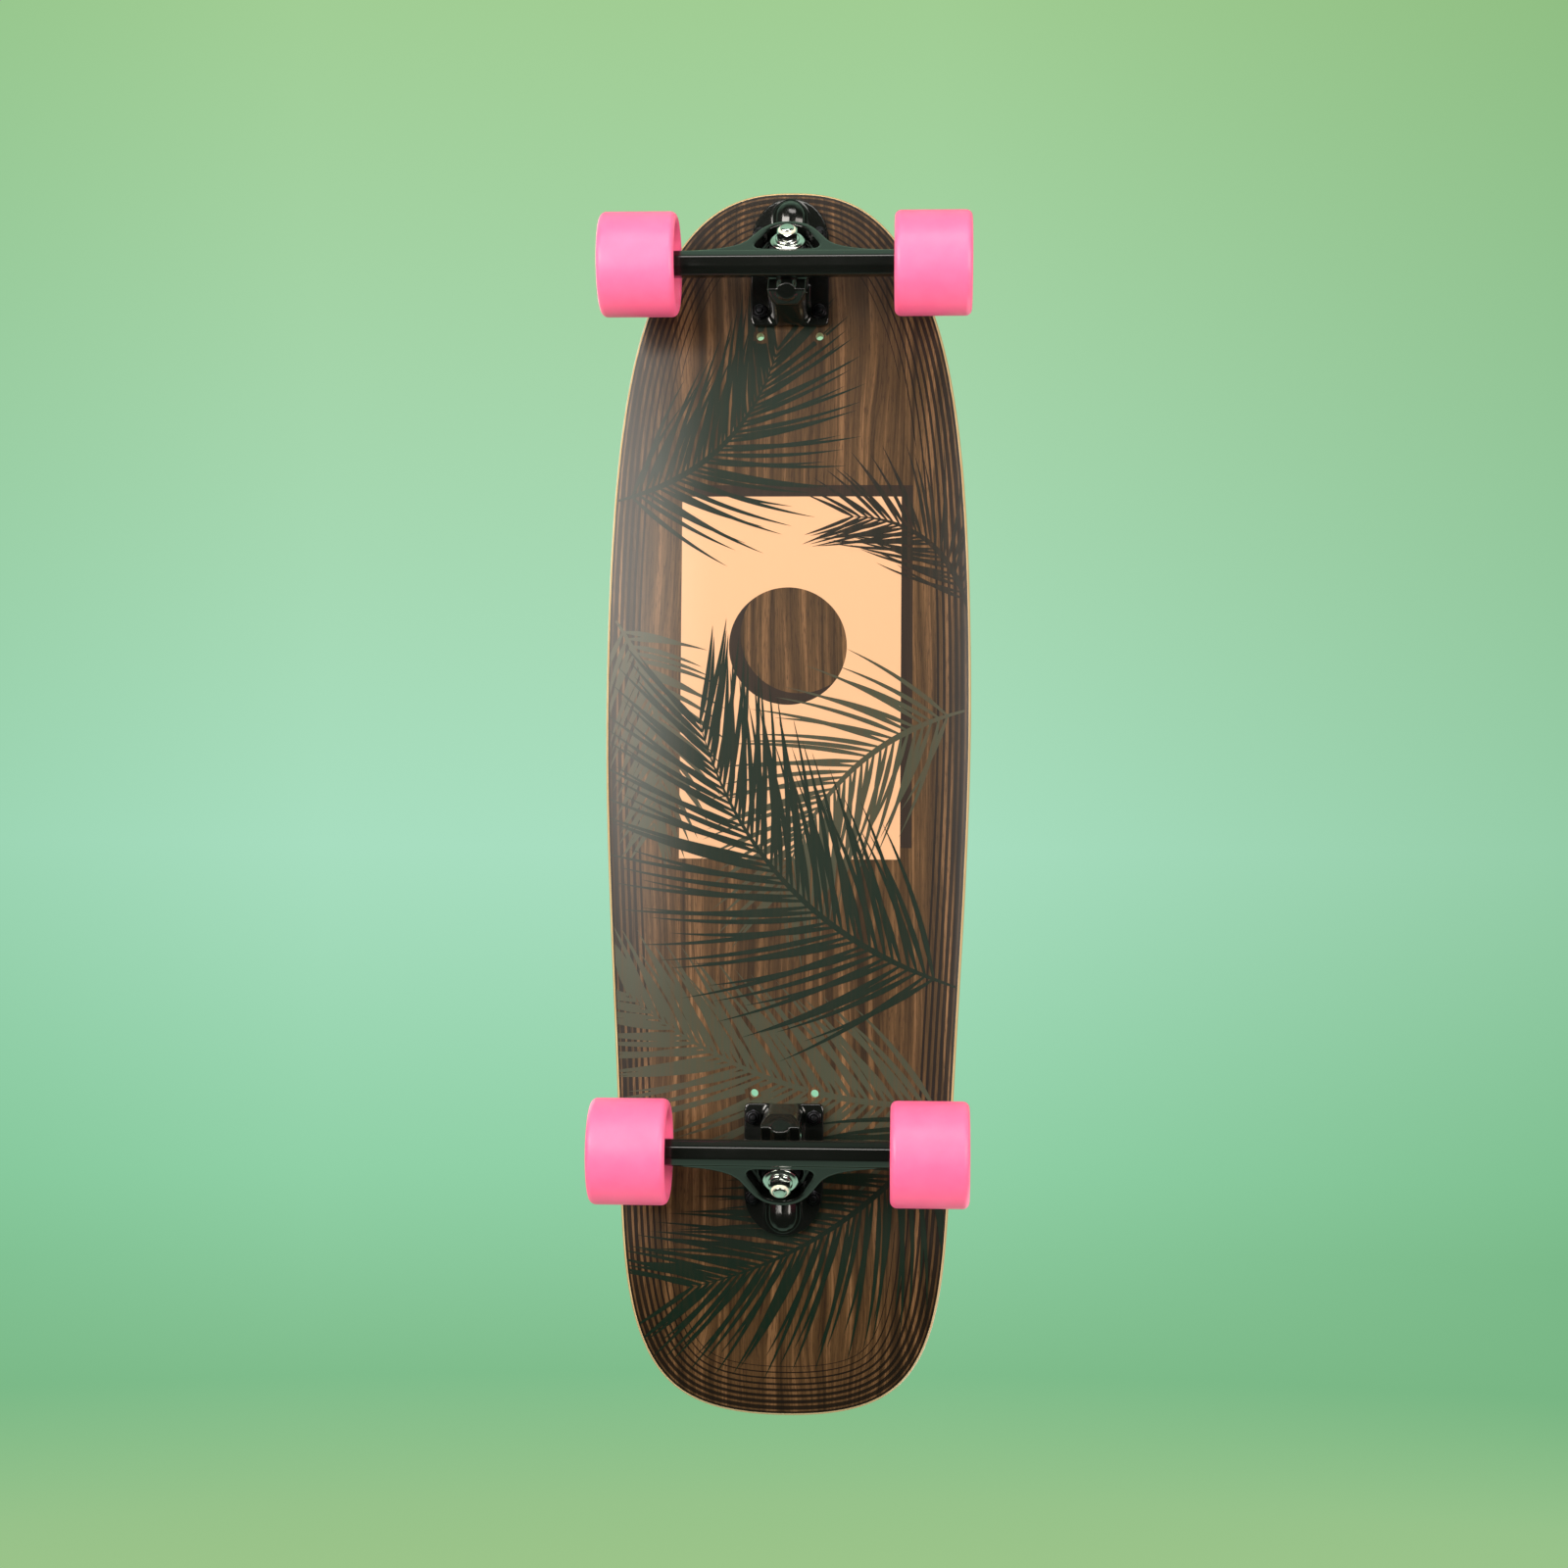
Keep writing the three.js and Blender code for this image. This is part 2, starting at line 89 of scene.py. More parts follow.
def add_node(
    tree: bpy.types.NodeTree,
    kind: str,
    inputs: dict[int | str, object] | None = None,
    stops: Sequence[tuple[float, str]] = (),
    out: int | str = 0,
    **settings: object,
) -> Socket | None:
    """Adds one shader node with its settings and links.

    Args:
        tree: The node tree it goes in.
        kind: The node's kind, without the ShaderNode prefix.
        inputs: A socket to link or a value to set, by input.
        stops: Places and hex colours of a colour ramp.
        out: Which output to return.
        **settings: Properties of the node itself.

    Returns:
        The chosen output, or None for a node without outputs.
    """
    node = tree.nodes.new("ShaderNode" + kind)
    for key, value in settings.items():
        setattr(node, key, value)
    for key, value in (inputs or {}).items():
        if isinstance(value, Socket):
            tree.links.new(value, node.inputs[key])
        else:
            node.inputs[key].default_value = value
    for index, (place, colour) in enumerate(stops):
        ramp = node.color_ramp.elements
        stop = ramp[index] if index < 2 else ramp.new(place)
        stop.position, stop.color = place, linear(colour)
    return node.outputs[out] if len(node.outputs) else None


@dataclass(frozen=True)
class Finish:
    """A procedural material, made once and found again by its name."""

    name: str

    def sockets(self, tree: bpy.types.NodeTree) -> dict[int | str, object]:
        """Gives the values and links of the principled shader's inputs."""
        raise NotImplementedError

    def material(self) -> bpy.types.Material:
        """Finds the material, or makes it.

        Returns:
            The material.
        """
        found = bpy.data.materials.get(self.name)
        if found:
            return found
        made = bpy.data.materials.new(self.name)
        made.use_nodes = True
        tree = made.node_tree
        tree.nodes.clear()
        shader = add_node(tree, "BsdfPrincipled", self.sockets(tree))
        add_node(tree, "OutputMaterial", {"Surface": shader})
        return made


def millimetres(tree: bpy.types.NodeTree, stretch: tuple[float, float, float]) -> Socket:
    """Object coordinates counted in pattern lengths.

    Args:
        tree: The node tree.
        stretch: The pattern's length along each axis, in millimetres.

    Returns:
        The scaled coordinates.
    """
    place = add_node(tree, "TexCoord", out="Object")
    scale = tuple(1 / (MM * length) for length in stretch)
    return add_node(tree, "Mapping", {"Vector": place, "Scale": scale})


# ---------------------------------------------------------------- finishes
@dataclass(frozen=True)
class WalnutVeneer(Finish):
    """Sliced walnut, printed, under sprayed satin lacquer: long streaks with a soft sheen."""

    streak: float = 2.6
    streak_length: float = 420.0
    wander: float = 22.0
    pore: float = 0.9
    pore_length: float = 11.0
    stripe_pitch: float = 4.4
    stripe_width: float = 3.5
    stripe_taper: float = 0.083
    side_band: float = 24.0
    end_band: float = 39.0
    panel_centre: tuple[float, float] = (84.5, 2.0)
    panel_half: tuple[float, float] = (125.5, 76.0)
    window: tuple[float, float] = (106.0, 0.0)
    window_radius: float = 40.7
    shadow_shift: float = 8.0

    def coordinates(self, tree: bpy.types.NodeTree) -> tuple[Socket, Socket]:
        """Gives the lengthwise and crosswise places in millimetres."""
        place = millimetres(tree, (1, 1, 1))
        split = add_node(tree, "SeparateXYZ", {0: place}, out="X")
        return split, split.node.outputs["Y"]

    def panel(self, tree: bpy.types.NodeTree, shift: float) -> Socket:
        """Makes the mask of the printed panel.

        Args:
            tree: The node tree.
            shift: How far the panel is moved along both axes.

        Returns:
            One inside the panel and nought outside.
        """
        gaps = []
        for place, centre, half in zip(self.coordinates(tree), self.panel_centre, self.panel_half):
            off = add_node(tree, "Math", {0: place, 1: centre + shift}, operation="SUBTRACT")
            size = add_node(tree, "Math", {0: off}, operation="ABSOLUTE")
            gaps.append(add_node(tree, "Math", {0: size, 1: half}, operation="LESS_THAN"))
        return add_node(tree, "Math", {0: gaps[0], 1: gaps[1]}, operation="MULTIPLY")

    def disc(self, tree: bpy.types.NodeTree, shift: float) -> Socket:
        """Makes the mask of the round window.

        Args:
            tree: The node tree.
            shift: How far the window is moved along both axes.

        Returns:
            One inside the window and nought outside.
        """
        centre = (self.window[0] + shift, self.window[1] + shift, 0.0)
        along, across = self.coordinates(tree)
        flat = add_node(tree, "CombineXYZ", {"X": along, "Y": across})
        reach = add_node(
            tree, "VectorMath", {0: flat, 1: centre}, out="Value", operation="DISTANCE"
        )
        return add_node(tree, "Math", {0: reach, 1: self.window_radius}, operation="LESS_THAN")

    def stripes(self, tree: bpy.types.NodeTree) -> Socket:
        """Makes the mask of the lines that follow the outline.

        Args:
            tree: The node tree.

        Returns:
            One on a line and nought between them.
        """
        edge = add_node(tree, "Attribute", out="Fac", attribute_name="edge_mm")
        along, _ = self.coordinates(tree)
        reach = add_node(tree, "Math", {0: along}, operation="ABSOLUTE")
        band = add_node(
            tree,
            "MapRange",
            {"Value": reach, 1: 170.0, 2: 330.0, 3: self.side_band, 4: self.end_band},
        )
        inside = add_node(tree, "Math", {0: edge, 1: band}, operation="LESS_THAN")
        step = add_node(tree, "Math", {0: edge, 1: self.stripe_pitch}, operation="MODULO")
        thinner = add_node(tree, "Math", {0: edge, 1: -self.stripe_taper}, operation="MULTIPLY")
        width = add_node(tree, "Math", {0: thinner, 1: self.stripe_width}, operation="ADD")
        line = add_node(tree, "Math", {0: step, 1: width}, operation="LESS_THAN")
        return add_node(tree, "Math", {0: line, 1: inside}, operation="MULTIPLY")

    def wood(self, tree: bpy.types.NodeTree) -> tuple[Socket, Socket]:
        """Makes the walnut's colour and its relief.

        Args:
            tree: The node tree.

        Returns:
            The colour, and a height that is low in the pores.
        """
        flow = add_node(
            tree,
            "TexNoise",
            {"Vector": millimetres(tree, (230, 46, 46)), "Scale": 1.0, "Detail": 1.0},
        )
        along, across = self.coordinates(tree)
        swing = add_node(
            tree, "Math", {0: flow, 1: self.wander, 2: across}, operation="MULTIPLY_ADD"
        )
        figures = []
        for length, width, detail in (
            (self.streak_length, self.streak * 3, 9.0), (self.pore_length, self.pore, 2.0)
        ):
            x = add_node(tree, "Math", {0: along, 1: length}, operation="DIVIDE")
            y = add_node(tree, "Math", {0: swing, 1: width}, operation="DIVIDE")
            flat = add_node(tree, "CombineXYZ", {"X": x, "Y": y})
            figure = {"Vector": flat, "Scale": 1.0, "Detail": detail, "Roughness": 0.68}
            figures.append(add_node(tree, "TexNoise", figure))
        streaks, pores = figures
        colour = add_node(
            tree,
            "ValToRGB",
            {"Fac": streaks},
            stops=(
                (0.30, "#1a1208"),
                (0.74, "#806040"),
                (0.42, "#2e2011"),
                (0.52, "#46321d"),
                (0.62, "#664a30"),
            ),
        )
        fleck = add_node(tree, "MapRange", {"Value": pores, 1: 0.52, 2: 0.68, 3: 0.0, 4: 0.62})
        dark = add_node(tree, "Mix", {0: fleck, 6: colour, 7: linear("#1d120c")}, **COLOURS)
        return dark, fleck

    def sockets(self, tree: bpy.types.NodeTree) -> dict[int | str, object]:
        """Lays the print over the wood, and the lacquer over both."""
        colour, relief = self.wood(tree)
        window = self.disc(tree, 0.0)
        lit = self.disc(tree, self.shadow_shift)
        panel = self.panel(tree, 0.0)
        fallen = self.panel(tree, self.shadow_shift)
        less = {"operation": "SUBTRACT", "use_clamp": True}
        outside = add_node(tree, "Math", {0: fallen, 1: panel}, **less)
        crescent = add_node(tree, "Math", {0: window, 1: lit}, **less)
        shade = add_node(tree, "Math", {0: outside, 1: crescent}, operation="MAXIMUM")
        cream = add_node(tree, "Math", {0: panel, 1: window}, **less)
        for mask, ink, cover in (
            (self.stripes(tree), "#0e0a06", 0.92),
            (shade, "#1f1712", 0.92),
            (cream, "#bb9270", 0.97),
        ):
            share = add_node(tree, "Math", {0: mask, 1: cover}, operation="MULTIPLY")
            colour = add_node(tree, "Mix", {0: share, 6: colour, 7: linear(ink)}, **COLOURS)
        bump = add_node(tree, "Bump", {"Height": relief, "Strength": 0.25, "Distance": -0.06 * MM})
        return {"Base Color": colour, **LACQUER, "Normal": bump}


@dataclass(frozen=True)
class MaplePlies(Finish):
    """Seven pressed maple plies, sanded round and lacquered: pale bands with thin glue lines."""

    ply: float = 1.42

    def sockets(self, tree: bpy.types.NodeTree) -> dict[int | str, object]:
        """Colours each ply by its height in the board."""
        height = add_node(tree, "Attribute", out="Fac", attribute_name="ply_mm")
        count = add_node(tree, "Math", {0: height, 1: self.ply}, operation="DIVIDE")
        turn = add_node(tree, "Math", {0: count, 1: 2.0}, operation="MODULO")
        cross = add_node(tree, "Math", {0: turn, 1: 1.0}, operation="GREATER_THAN")
        part = add_node(tree, "Math", {0: count}, operation="FRACT")
        glue = add_node(tree, "Math", {0: part, 1: 0.09}, operation="LESS_THAN")
        grain = add_node(
            tree,
            "TexNoise",
            {"Vector": millimetres(tree, (70, 1.6, 0.5)), "Scale": 1.0, "Detail": 5.0},
        )
        wood = add_node(
            tree, "ValToRGB", {"Fac": grain}, stops=((0.3, "#b18a5b"), (0.7, "#ccb48a"))
        )
        end = add_node(tree, "Mix", {0: cross, 6: wood, 7: linear("#ad8557")}, **COLOURS)
        share = add_node(tree, "Math", {0: glue, 1: 0.5}, operation="MULTIPLY")
        colour = add_node(tree, "Mix", {0: share, 6: end, 7: linear("#6b4928")}, **COLOURS)
        return {"Base Color": colour, "Roughness": 0.45, "Coat Weight": 0.3, "Coat Roughness": 0.25}


@dataclass(frozen=True)
class GripTape(Finish):
    """Silicon carbide grit on adhesive sheet: rough and black, with painted glints: a few grains
    coloured light grey to stand in for the sparkle of the grit.

    Real grains are 0.2 to 0.4 mm; they are drawn at 0.9 mm so that they show.
    """

    grit: float = 0.9

    def sockets(self, tree: bpy.types.NodeTree) -> dict[int | str, object]:
        """Scatters the grains, and paints glints on a few of them."""
        cells = add_node(
            tree,
            "TexVoronoi",
            {"Vector": millimetres(tree, (self.grit,) * 3), "Scale": 1.0},
            out="Distance",
        )
        chance = add_node(tree, "SeparateXYZ", {0: cells.node.outputs["Color"]})
        # Painted glints: the grit cells with the highest chance are coloured light grey for the
        # sparkle of the grains.
        painted_glint = add_node(tree, "MapRange", {"Value": chance, 1: 0.86, 2: 1.0, 3: 0.0, 4: 0.55})
        patch = add_node(
            tree,
            "TexNoise",
            {"Vector": millimetres(tree, (90, 40, 40)), "Scale": 1.0, "Detail": 4.0},
        )
        ground = add_node(
            tree, "ValToRGB", {"Fac": patch}, stops=((0.3, "#101011"), (0.75, "#232325"))
        )
        colour = add_node(tree, "Mix", {0: painted_glint, 6: ground, 7: linear("#7c7c80")}, **COLOURS)
        bump = add_node(tree, "Bump", {"Height": cells, "Strength": 0.9, "Distance": -0.35 * MM})
        return {"Base Color": colour, "Roughness": 0.82, "Normal": bump}


@dataclass(frozen=True)
class PrintInk(Finish):
    """Screen ink under the lacquer: a flat tone through which a little grain shows."""

    ink: str
    under: str
    bare: float

    def sockets(self, tree: bpy.types.NodeTree) -> dict[int | str, object]:
        """Mixes the ink with the grain below it."""
        grain = add_node(
            tree,
            "TexNoise",
            {"Vector": millimetres(tree, (150, 2.2, 2.2)), "Scale": 1.0, "Detail": 7.0},
        )
        share = add_node(tree, "MapRange", {"Value": grain, 1: 0.45, 2: 0.7, 3: 0.0, 4: self.bare})
        colour = add_node(
            tree, "Mix", {0: share, 6: linear(self.ink), 7: linear(self.under)}, **COLOURS
        )
        return {"Base Color": colour, **LACQUER}


@dataclass(frozen=True)
class PowderCoat(Finish):
    """Baked gloss powder on cast aluminium: deep black with a faint orange peel."""

    peel: float = 2.2

    def sockets(self, tree: bpy.types.NodeTree) -> dict[int | str, object]:
        """Gives the coat its peel and a trace of dust."""
        peel = add_node(
            tree,
            "TexNoise",
            {"Vector": millimetres(tree, (self.peel,) * 3), "Scale": 1.0, "Detail": 2.0},
        )
        dust = add_node(
            tree, "TexNoise", {"Vector": millimetres(tree, (25,) * 3), "Scale": 1.0, "Detail": 6.0}
        )
        rough = add_node(tree, "MapRange", {"Value": dust, 1: 0.35, 2: 0.75, 3: 0.13, 4: 0.24})
        bump = add_node(tree, "Bump", {"Height": peel, "Strength": 0.12, "Distance": 0.05 * MM})
        return {
            "Base Color": linear("#0b0d0b"),
            "Roughness": rough,
            "IOR": 1.5,
            "Specular IOR Level": 0.36,
            "Coat Weight": 0.28,
            "Coat Roughness": 0.06,
            "Normal": bump,
        }


@dataclass(frozen=True)
class TurnedMetal(Finish):
    """Turned and plated steel: bright, with fine rings left by the tool."""

    light: str
    dark: str
    roughness: float
    tool: float

    def sockets(self, tree: bpy.types.NodeTree) -> dict[int | str, object]:
        """Draws the tool's rings from the turned radius and height."""
        turned = add_node(tree, "Attribute", out="Vector", attribute_name="turned")
        rings = add_node(
            tree,
            "TexNoise",
            {"Vector": turned, "Scale": 1 / self.tool, "Detail": 3.0, "Roughness": 0.7},
        )
        cloud = add_node(
            tree, "TexNoise", {"Vector": millimetres(tree, (7,) * 3), "Scale": 1.0, "Detail": 4.0}
        )
        share = add_node(tree, "MapRange", {"Value": cloud, 1: 0.4, 2: 0.7})
        colour = add_node(
            tree, "Mix", {0: share, 6: linear(self.light), 7: linear(self.dark)}, **COLOURS
        )
        rough = add_node(
            tree,
            "MapRange",
            {"Value": rings, 1: 0.3, 2: 0.7, 3: self.roughness * 0.8, 4: self.roughness * 1.3},
        )
        bump = add_node(tree, "Bump", {"Height": rings, "Strength": 0.1, "Distance": 0.03 * MM})
        return {"Base Color": colour, "Metallic": 1.0, "Roughness": rough, "Normal": bump}


@dataclass(frozen=True)
class Moulded(Finish):
    """Cast or moulded polymer: an even colour with a soft skin, lit a little from within."""

    colour: str
    deep: str
    roughness: float
    glow: float
    skin: float

    def sockets(self, tree: bpy.types.NodeTree) -> dict[int | str, object]:
        """Gives the skin its slight cloud and grain."""
        cloud = add_node(
            tree, "TexNoise", {"Vector": millimetres(tree, (14,) * 3), "Scale": 1.0, "Detail": 5.0}
        )
        share = add_node(tree, "MapRange", {"Value": cloud, 1: 0.35, 2: 0.8})
        colour = add_node(
            tree, "Mix", {0: share, 6: linear(self.colour), 7: linear(self.deep)}, **COLOURS
        )
        grain = add_node(
            tree,
            "TexNoise",
            {"Vector": millimetres(tree, (self.skin,) * 3), "Scale": 1.0, "Detail": 3.0},
        )
        bump = add_node(tree, "Bump", {"Height": grain, "Strength": 0.2, "Distance": 0.05 * MM})
        return {
            "Base Color": colour,
            "Roughness": self.roughness,
            "Subsurface Weight": self.glow,
            "Subsurface Radius": (1.0, 0.35, 0.5),
            "Subsurface Scale": 2.5 * MM,
            "Normal": bump,
        }


class Stock(Enum):
    """The finishes that the board is made of."""

    WALNUT = WalnutVeneer("satin_lacquered_walnut_veneer")
    MAPLE = MaplePlies("lacquered_maple_plies")
    GRIP = GripTape("silicon_carbide_grip_tape")
    FROND_DEEP = PrintInk("deep_green_screen_ink", "#0b1a11", "#201e12", 0.4)
    FROND_OLIVE = PrintInk("olive_screen_ink", "#34372a", "#423524", 0.6)
    FROND_DUSK = PrintInk("dusk_screen_ink", "#171711", "#332417", 0.5)
    POWDER = PowderCoat("gloss_black_powder_coat")
    ZINC = TurnedMetal("bright_zinc_plated_steel", "#d4dad8", "#b9bdb4", 0.16, 0.35)
    BEARING = TurnedMetal("ground_bearing_steel", "#b4b8bb", "#9a9da0", 0.24, 0.25)
    OXIDE = TurnedMetal("black_oxide_steel", "#2a2a2d", "#1b1b1d", 0.34, 0.3)
    TYRE = Moulded("cast_pink_urethane", "#f3638f", "#ee5c89", 0.45, 0.25, 1.1)
    HUB = Moulded("moulded_cream_nylon_hub", "#efe6da", "#e4d8c9", 0.4, 0.1, 1.5)
    BUSHING = Moulded("cast_black_urethane", "#26262a", "#1c1c20", 0.5, 0.0, 1.0)
    COLLAR = Moulded("turned_nylon_collar", "#d9d6c2", "#cbc7b0", 0.45, 0.15, 1.0)
    SHIELD = Moulded("rubber_bearing_shield", "#232326", "#1a1a1c", 0.45, 0.0, 1.2)


# ---------------------------------------------------------------- mesh helpers
def wrapped(columns: int, rows: Sequence[Row]) -> bmesh.types.BMesh:
    """Wraps a flat grid round into a closed skin and welds its seams.

    Args:
        columns: Faces round the skin.
        rows: One function a row, from a share of the way round to a place in millimetres.

    Returns:
        The skin, in metres.
    """
    skin = bmesh.new()
    last = len(rows) - 1
    bmesh.ops.create_grid(skin, x_segments=columns, y_segments=last, size=0.5)
    for vert in skin.verts:
        share = round((vert.co.x + 0.5) * columns) % columns / columns
        row = rows[round((vert.co.y + 0.5) * last)]
        vert.co = Vector(row(share)) * MM
    bmesh.ops.remove_doubles(skin, verts=skin.verts, dist=WELD)
    bmesh.ops.dissolve_degenerate(skin, edges=skin.edges, dist=1e-7)
    bmesh.ops.recalc_face_normals(skin, faces=skin.faces)
    return skin


def softened(profile: Profile, radius: float, closed: bool) -> list[tuple[float, float]]:
    """Rounds the corners of a profile.

    Args:
        profile: Radius and height of each corner.
        radius: How far from a corner its rounding starts.
        closed: Whether the last corner joins the first.

    Returns:
        The profile with three points at each rounded corner.
    """
    points = [Vector(p) for p in profile]
    count = len(points)
    made: list[tuple[float, float]] = []
    for index, corner in enumerate(points):
        if not closed and index in (0, count - 1):
            made.append(tuple(corner))
            continue
        before, after = points[index - 1] - corner, points[(index + 1) % count] - corner
        reach = min(radius, before.length * 0.45, after.length * 0.45)
        start, end = corner + before.normalized() * reach, corner + after.normalized() * reach
        made += [tuple(start), tuple((start + 2 * corner + end) / 4), tuple(end)]
    return made


def turned(
    profile: Profile, soft: float = 0.3, segments: int = 64, closed: bool = True
) -> bmesh.types.BMesh:
    """Turns a profile about Z.

    Args:
        profile: Radius and height of each corner, in millimetres.
        soft: Rounding of the corners, in millimetres.
        segments: Steps of the turn.
        closed: Whether the profile is a ring's, or starts and ends on the axis.

    Returns:
        The turned solid, with its radius and height kept for its tool marks.
    """
    stock = bmesh.new()
    marks = stock.verts.layers.float_vector.new("turned")
    points = softened(profile, soft, closed)
    verts = [stock.verts.new((radius * MM, 0, height * MM)) for radius, height in points]
    edges = [stock.edges.new(pair) for pair in zip(verts, verts[1:])]
    if closed:
        edges.append(stock.edges.new((verts[-1], verts[0])))
    bmesh.ops.spin(
        stock,
        geom=verts + edges,
        cent=(0, 0, 0),
        axis=(0, 0, 1),
        angle=2 * math.pi,
        steps=segments,
        use_merge=True,
    )
    bmesh.ops.remove_doubles(stock, verts=stock.verts, dist=WELD)
    bmesh.ops.recalc_face_normals(stock, faces=stock.faces)
    for vert in stock.verts:
        vert[marks] = (vert.co.xy.length / MM, vert.co.z / MM, 0)
    return stock


def ring(inner: float, outer: float, low: float, high: float) -> list[tuple[float, float]]:
    """Gives the profile of a plain ring.

    Args:
        inner: Inner radius.
        outer: Outer radius.
        low: Bottom height.
        high: Top height.

    Returns:
        Its four corners.
    """
    return [(inner, low), (outer, low), (outer, high), (inner, high)]


def hexagonal(
    flats: float, low: float, high: float, hole: float, segments: int = 48
) -> bmesh.types.BMesh:
    """Makes a hexagon nut or head with chamfered corners, about Z.

    Args:
        flats: Width across flats.
        low: Bottom height.
        high: Top height.
        hole: Radius of the hole, or nought.
        segments: Faces round it, a multiple of six.

    Returns:
        The solid.
    """
    crown = flats / 2 * 0.96
    slope = 0.577  # a 30 degree chamfer

    def wall(share: float) -> float:
        """Gives the hexagon's radius at a share of the way round."""
        turn = share * 2 * math.pi % (math.pi / 3) - math.pi / 6
        return flats / 2 / math.cos(turn)

    def loop(radius: float | None, height: float, fall: float = 0.0) -> Row:
        """Gives a row at a radius, or on the hexagon, which falls away at its corners."""

        def place(share: float) -> tuple[float, float, float]:
            """Gives a place on the row."""
            reach = wall(share) if radius is None else radius
            drop = fall * max(0.0, reach - crown) * slope
            angle = share * 2 * math.pi
            return reach * math.cos(angle), reach * math.sin(angle), height - drop

        return place

    rows = [
        loop(hole, low),
        loop(crown, low),
        loop(None, low, -1.0),
        loop(None, high, 1.0),
        loop(crown, high),
        loop(hole, high),
    ]
    if hole:
        rows.append(loop(hole, low))
    return wrapped(segments, rows)


def threaded(
    radius: float, low: float, high: float, pitch: float = 0.9, depth: float = 0.32
) -> list[tuple[float, float]]:
    """Gives the zigzag profile of a thread, from low to high.

    Args:
        radius: Outer radius.
        low: Where it starts.
        high: Where it ends.
        pitch: Distance between crests.
        depth: Height of the crests.

    Returns:
        Radius and height of each crest and root.
    """
    count = int((high - low) / pitch)
    step = (high - low) / count
    made = []
    for turn in range(count):
        made += [(radius, low + turn * step), (radius - depth, low + (turn + 0.5) * step)]
    return made + [(radius, high)]


def applied(obj: bpy.types.Object) -> bpy.types.Mesh:
    """Gives a lone object's mesh with its modifiers applied, and removes the object."""
    depsgraph = bpy.context.evaluated_depsgraph_get()
    made = bpy.data.meshes.new_from_object(obj.evaluated_get(depsgraph))
    bpy.data.objects.remove(obj)
    return made


def loose(mesh: bmesh.types.BMesh | bpy.types.Mesh, name: str) -> bpy.types.Object:
    """Puts a mesh into the scene as an object.

    Args:
        mesh: The mesh, or a bmesh, which is freed.
        name: The object's name.

    Returns:
        The object.
    """
    if isinstance(mesh, bmesh.types.BMesh):
        data = bpy.data.meshes.new(name)
        mesh.to_mesh(data)
        mesh.free()
    else:
        data = mesh
        data.name = name
    made = bpy.data.objects.new(name, data)
    bpy.context.scene.collection.objects.link(made)
    return made


def piece(
    name: str,
    mesh: bmesh.types.BMesh | bpy.types.Mesh,
    stock: Stock,
    body: str,
    stands_for: Sequence[str] = (),
    place: Matrix | None = None,
    crease: float = 38.0,
    bend: tuple[str, Vector, Vector] | None = None,
) -> bpy.types.Object:
    """Finishes a piece: places, smooths and dresses it, and hangs it on its body.

    Args:
        name: The piece's name.
        mesh: Its mesh, in its own frame.
        stock: Its finish.
        body: The body that it rides on.
        stands_for: The CAD nodes that it replaces.
        place: Where its frame is.
        crease: Edges that turn by more degrees than this stay sharp.
        bend: For rubber between two bodies, the other body and where the bend starts and ends; only
            whether it is given is read: such a piece is left in place, hung on no body, and is not
            bent.

    Returns:
        The finished piece.
    """
    made = loose(mesh, name)
    if place is not None:
        made.data.transform(place)
    made.data.polygons.foreach_set("use_smooth", [True] * len(made.data.polygons))
    made.data.set_sharp_from_angle(angle=math.radians(crease))
    made.data.materials.clear()
    made.data.materials.append(stock.value.material())
    if bend:
        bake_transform(made)
    else:
        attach(made, body)
    if stands_for:
        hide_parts(*stands_for)
    LOG.info("%s: %d faces on %s", name, len(made.data.polygons), body)
    return made


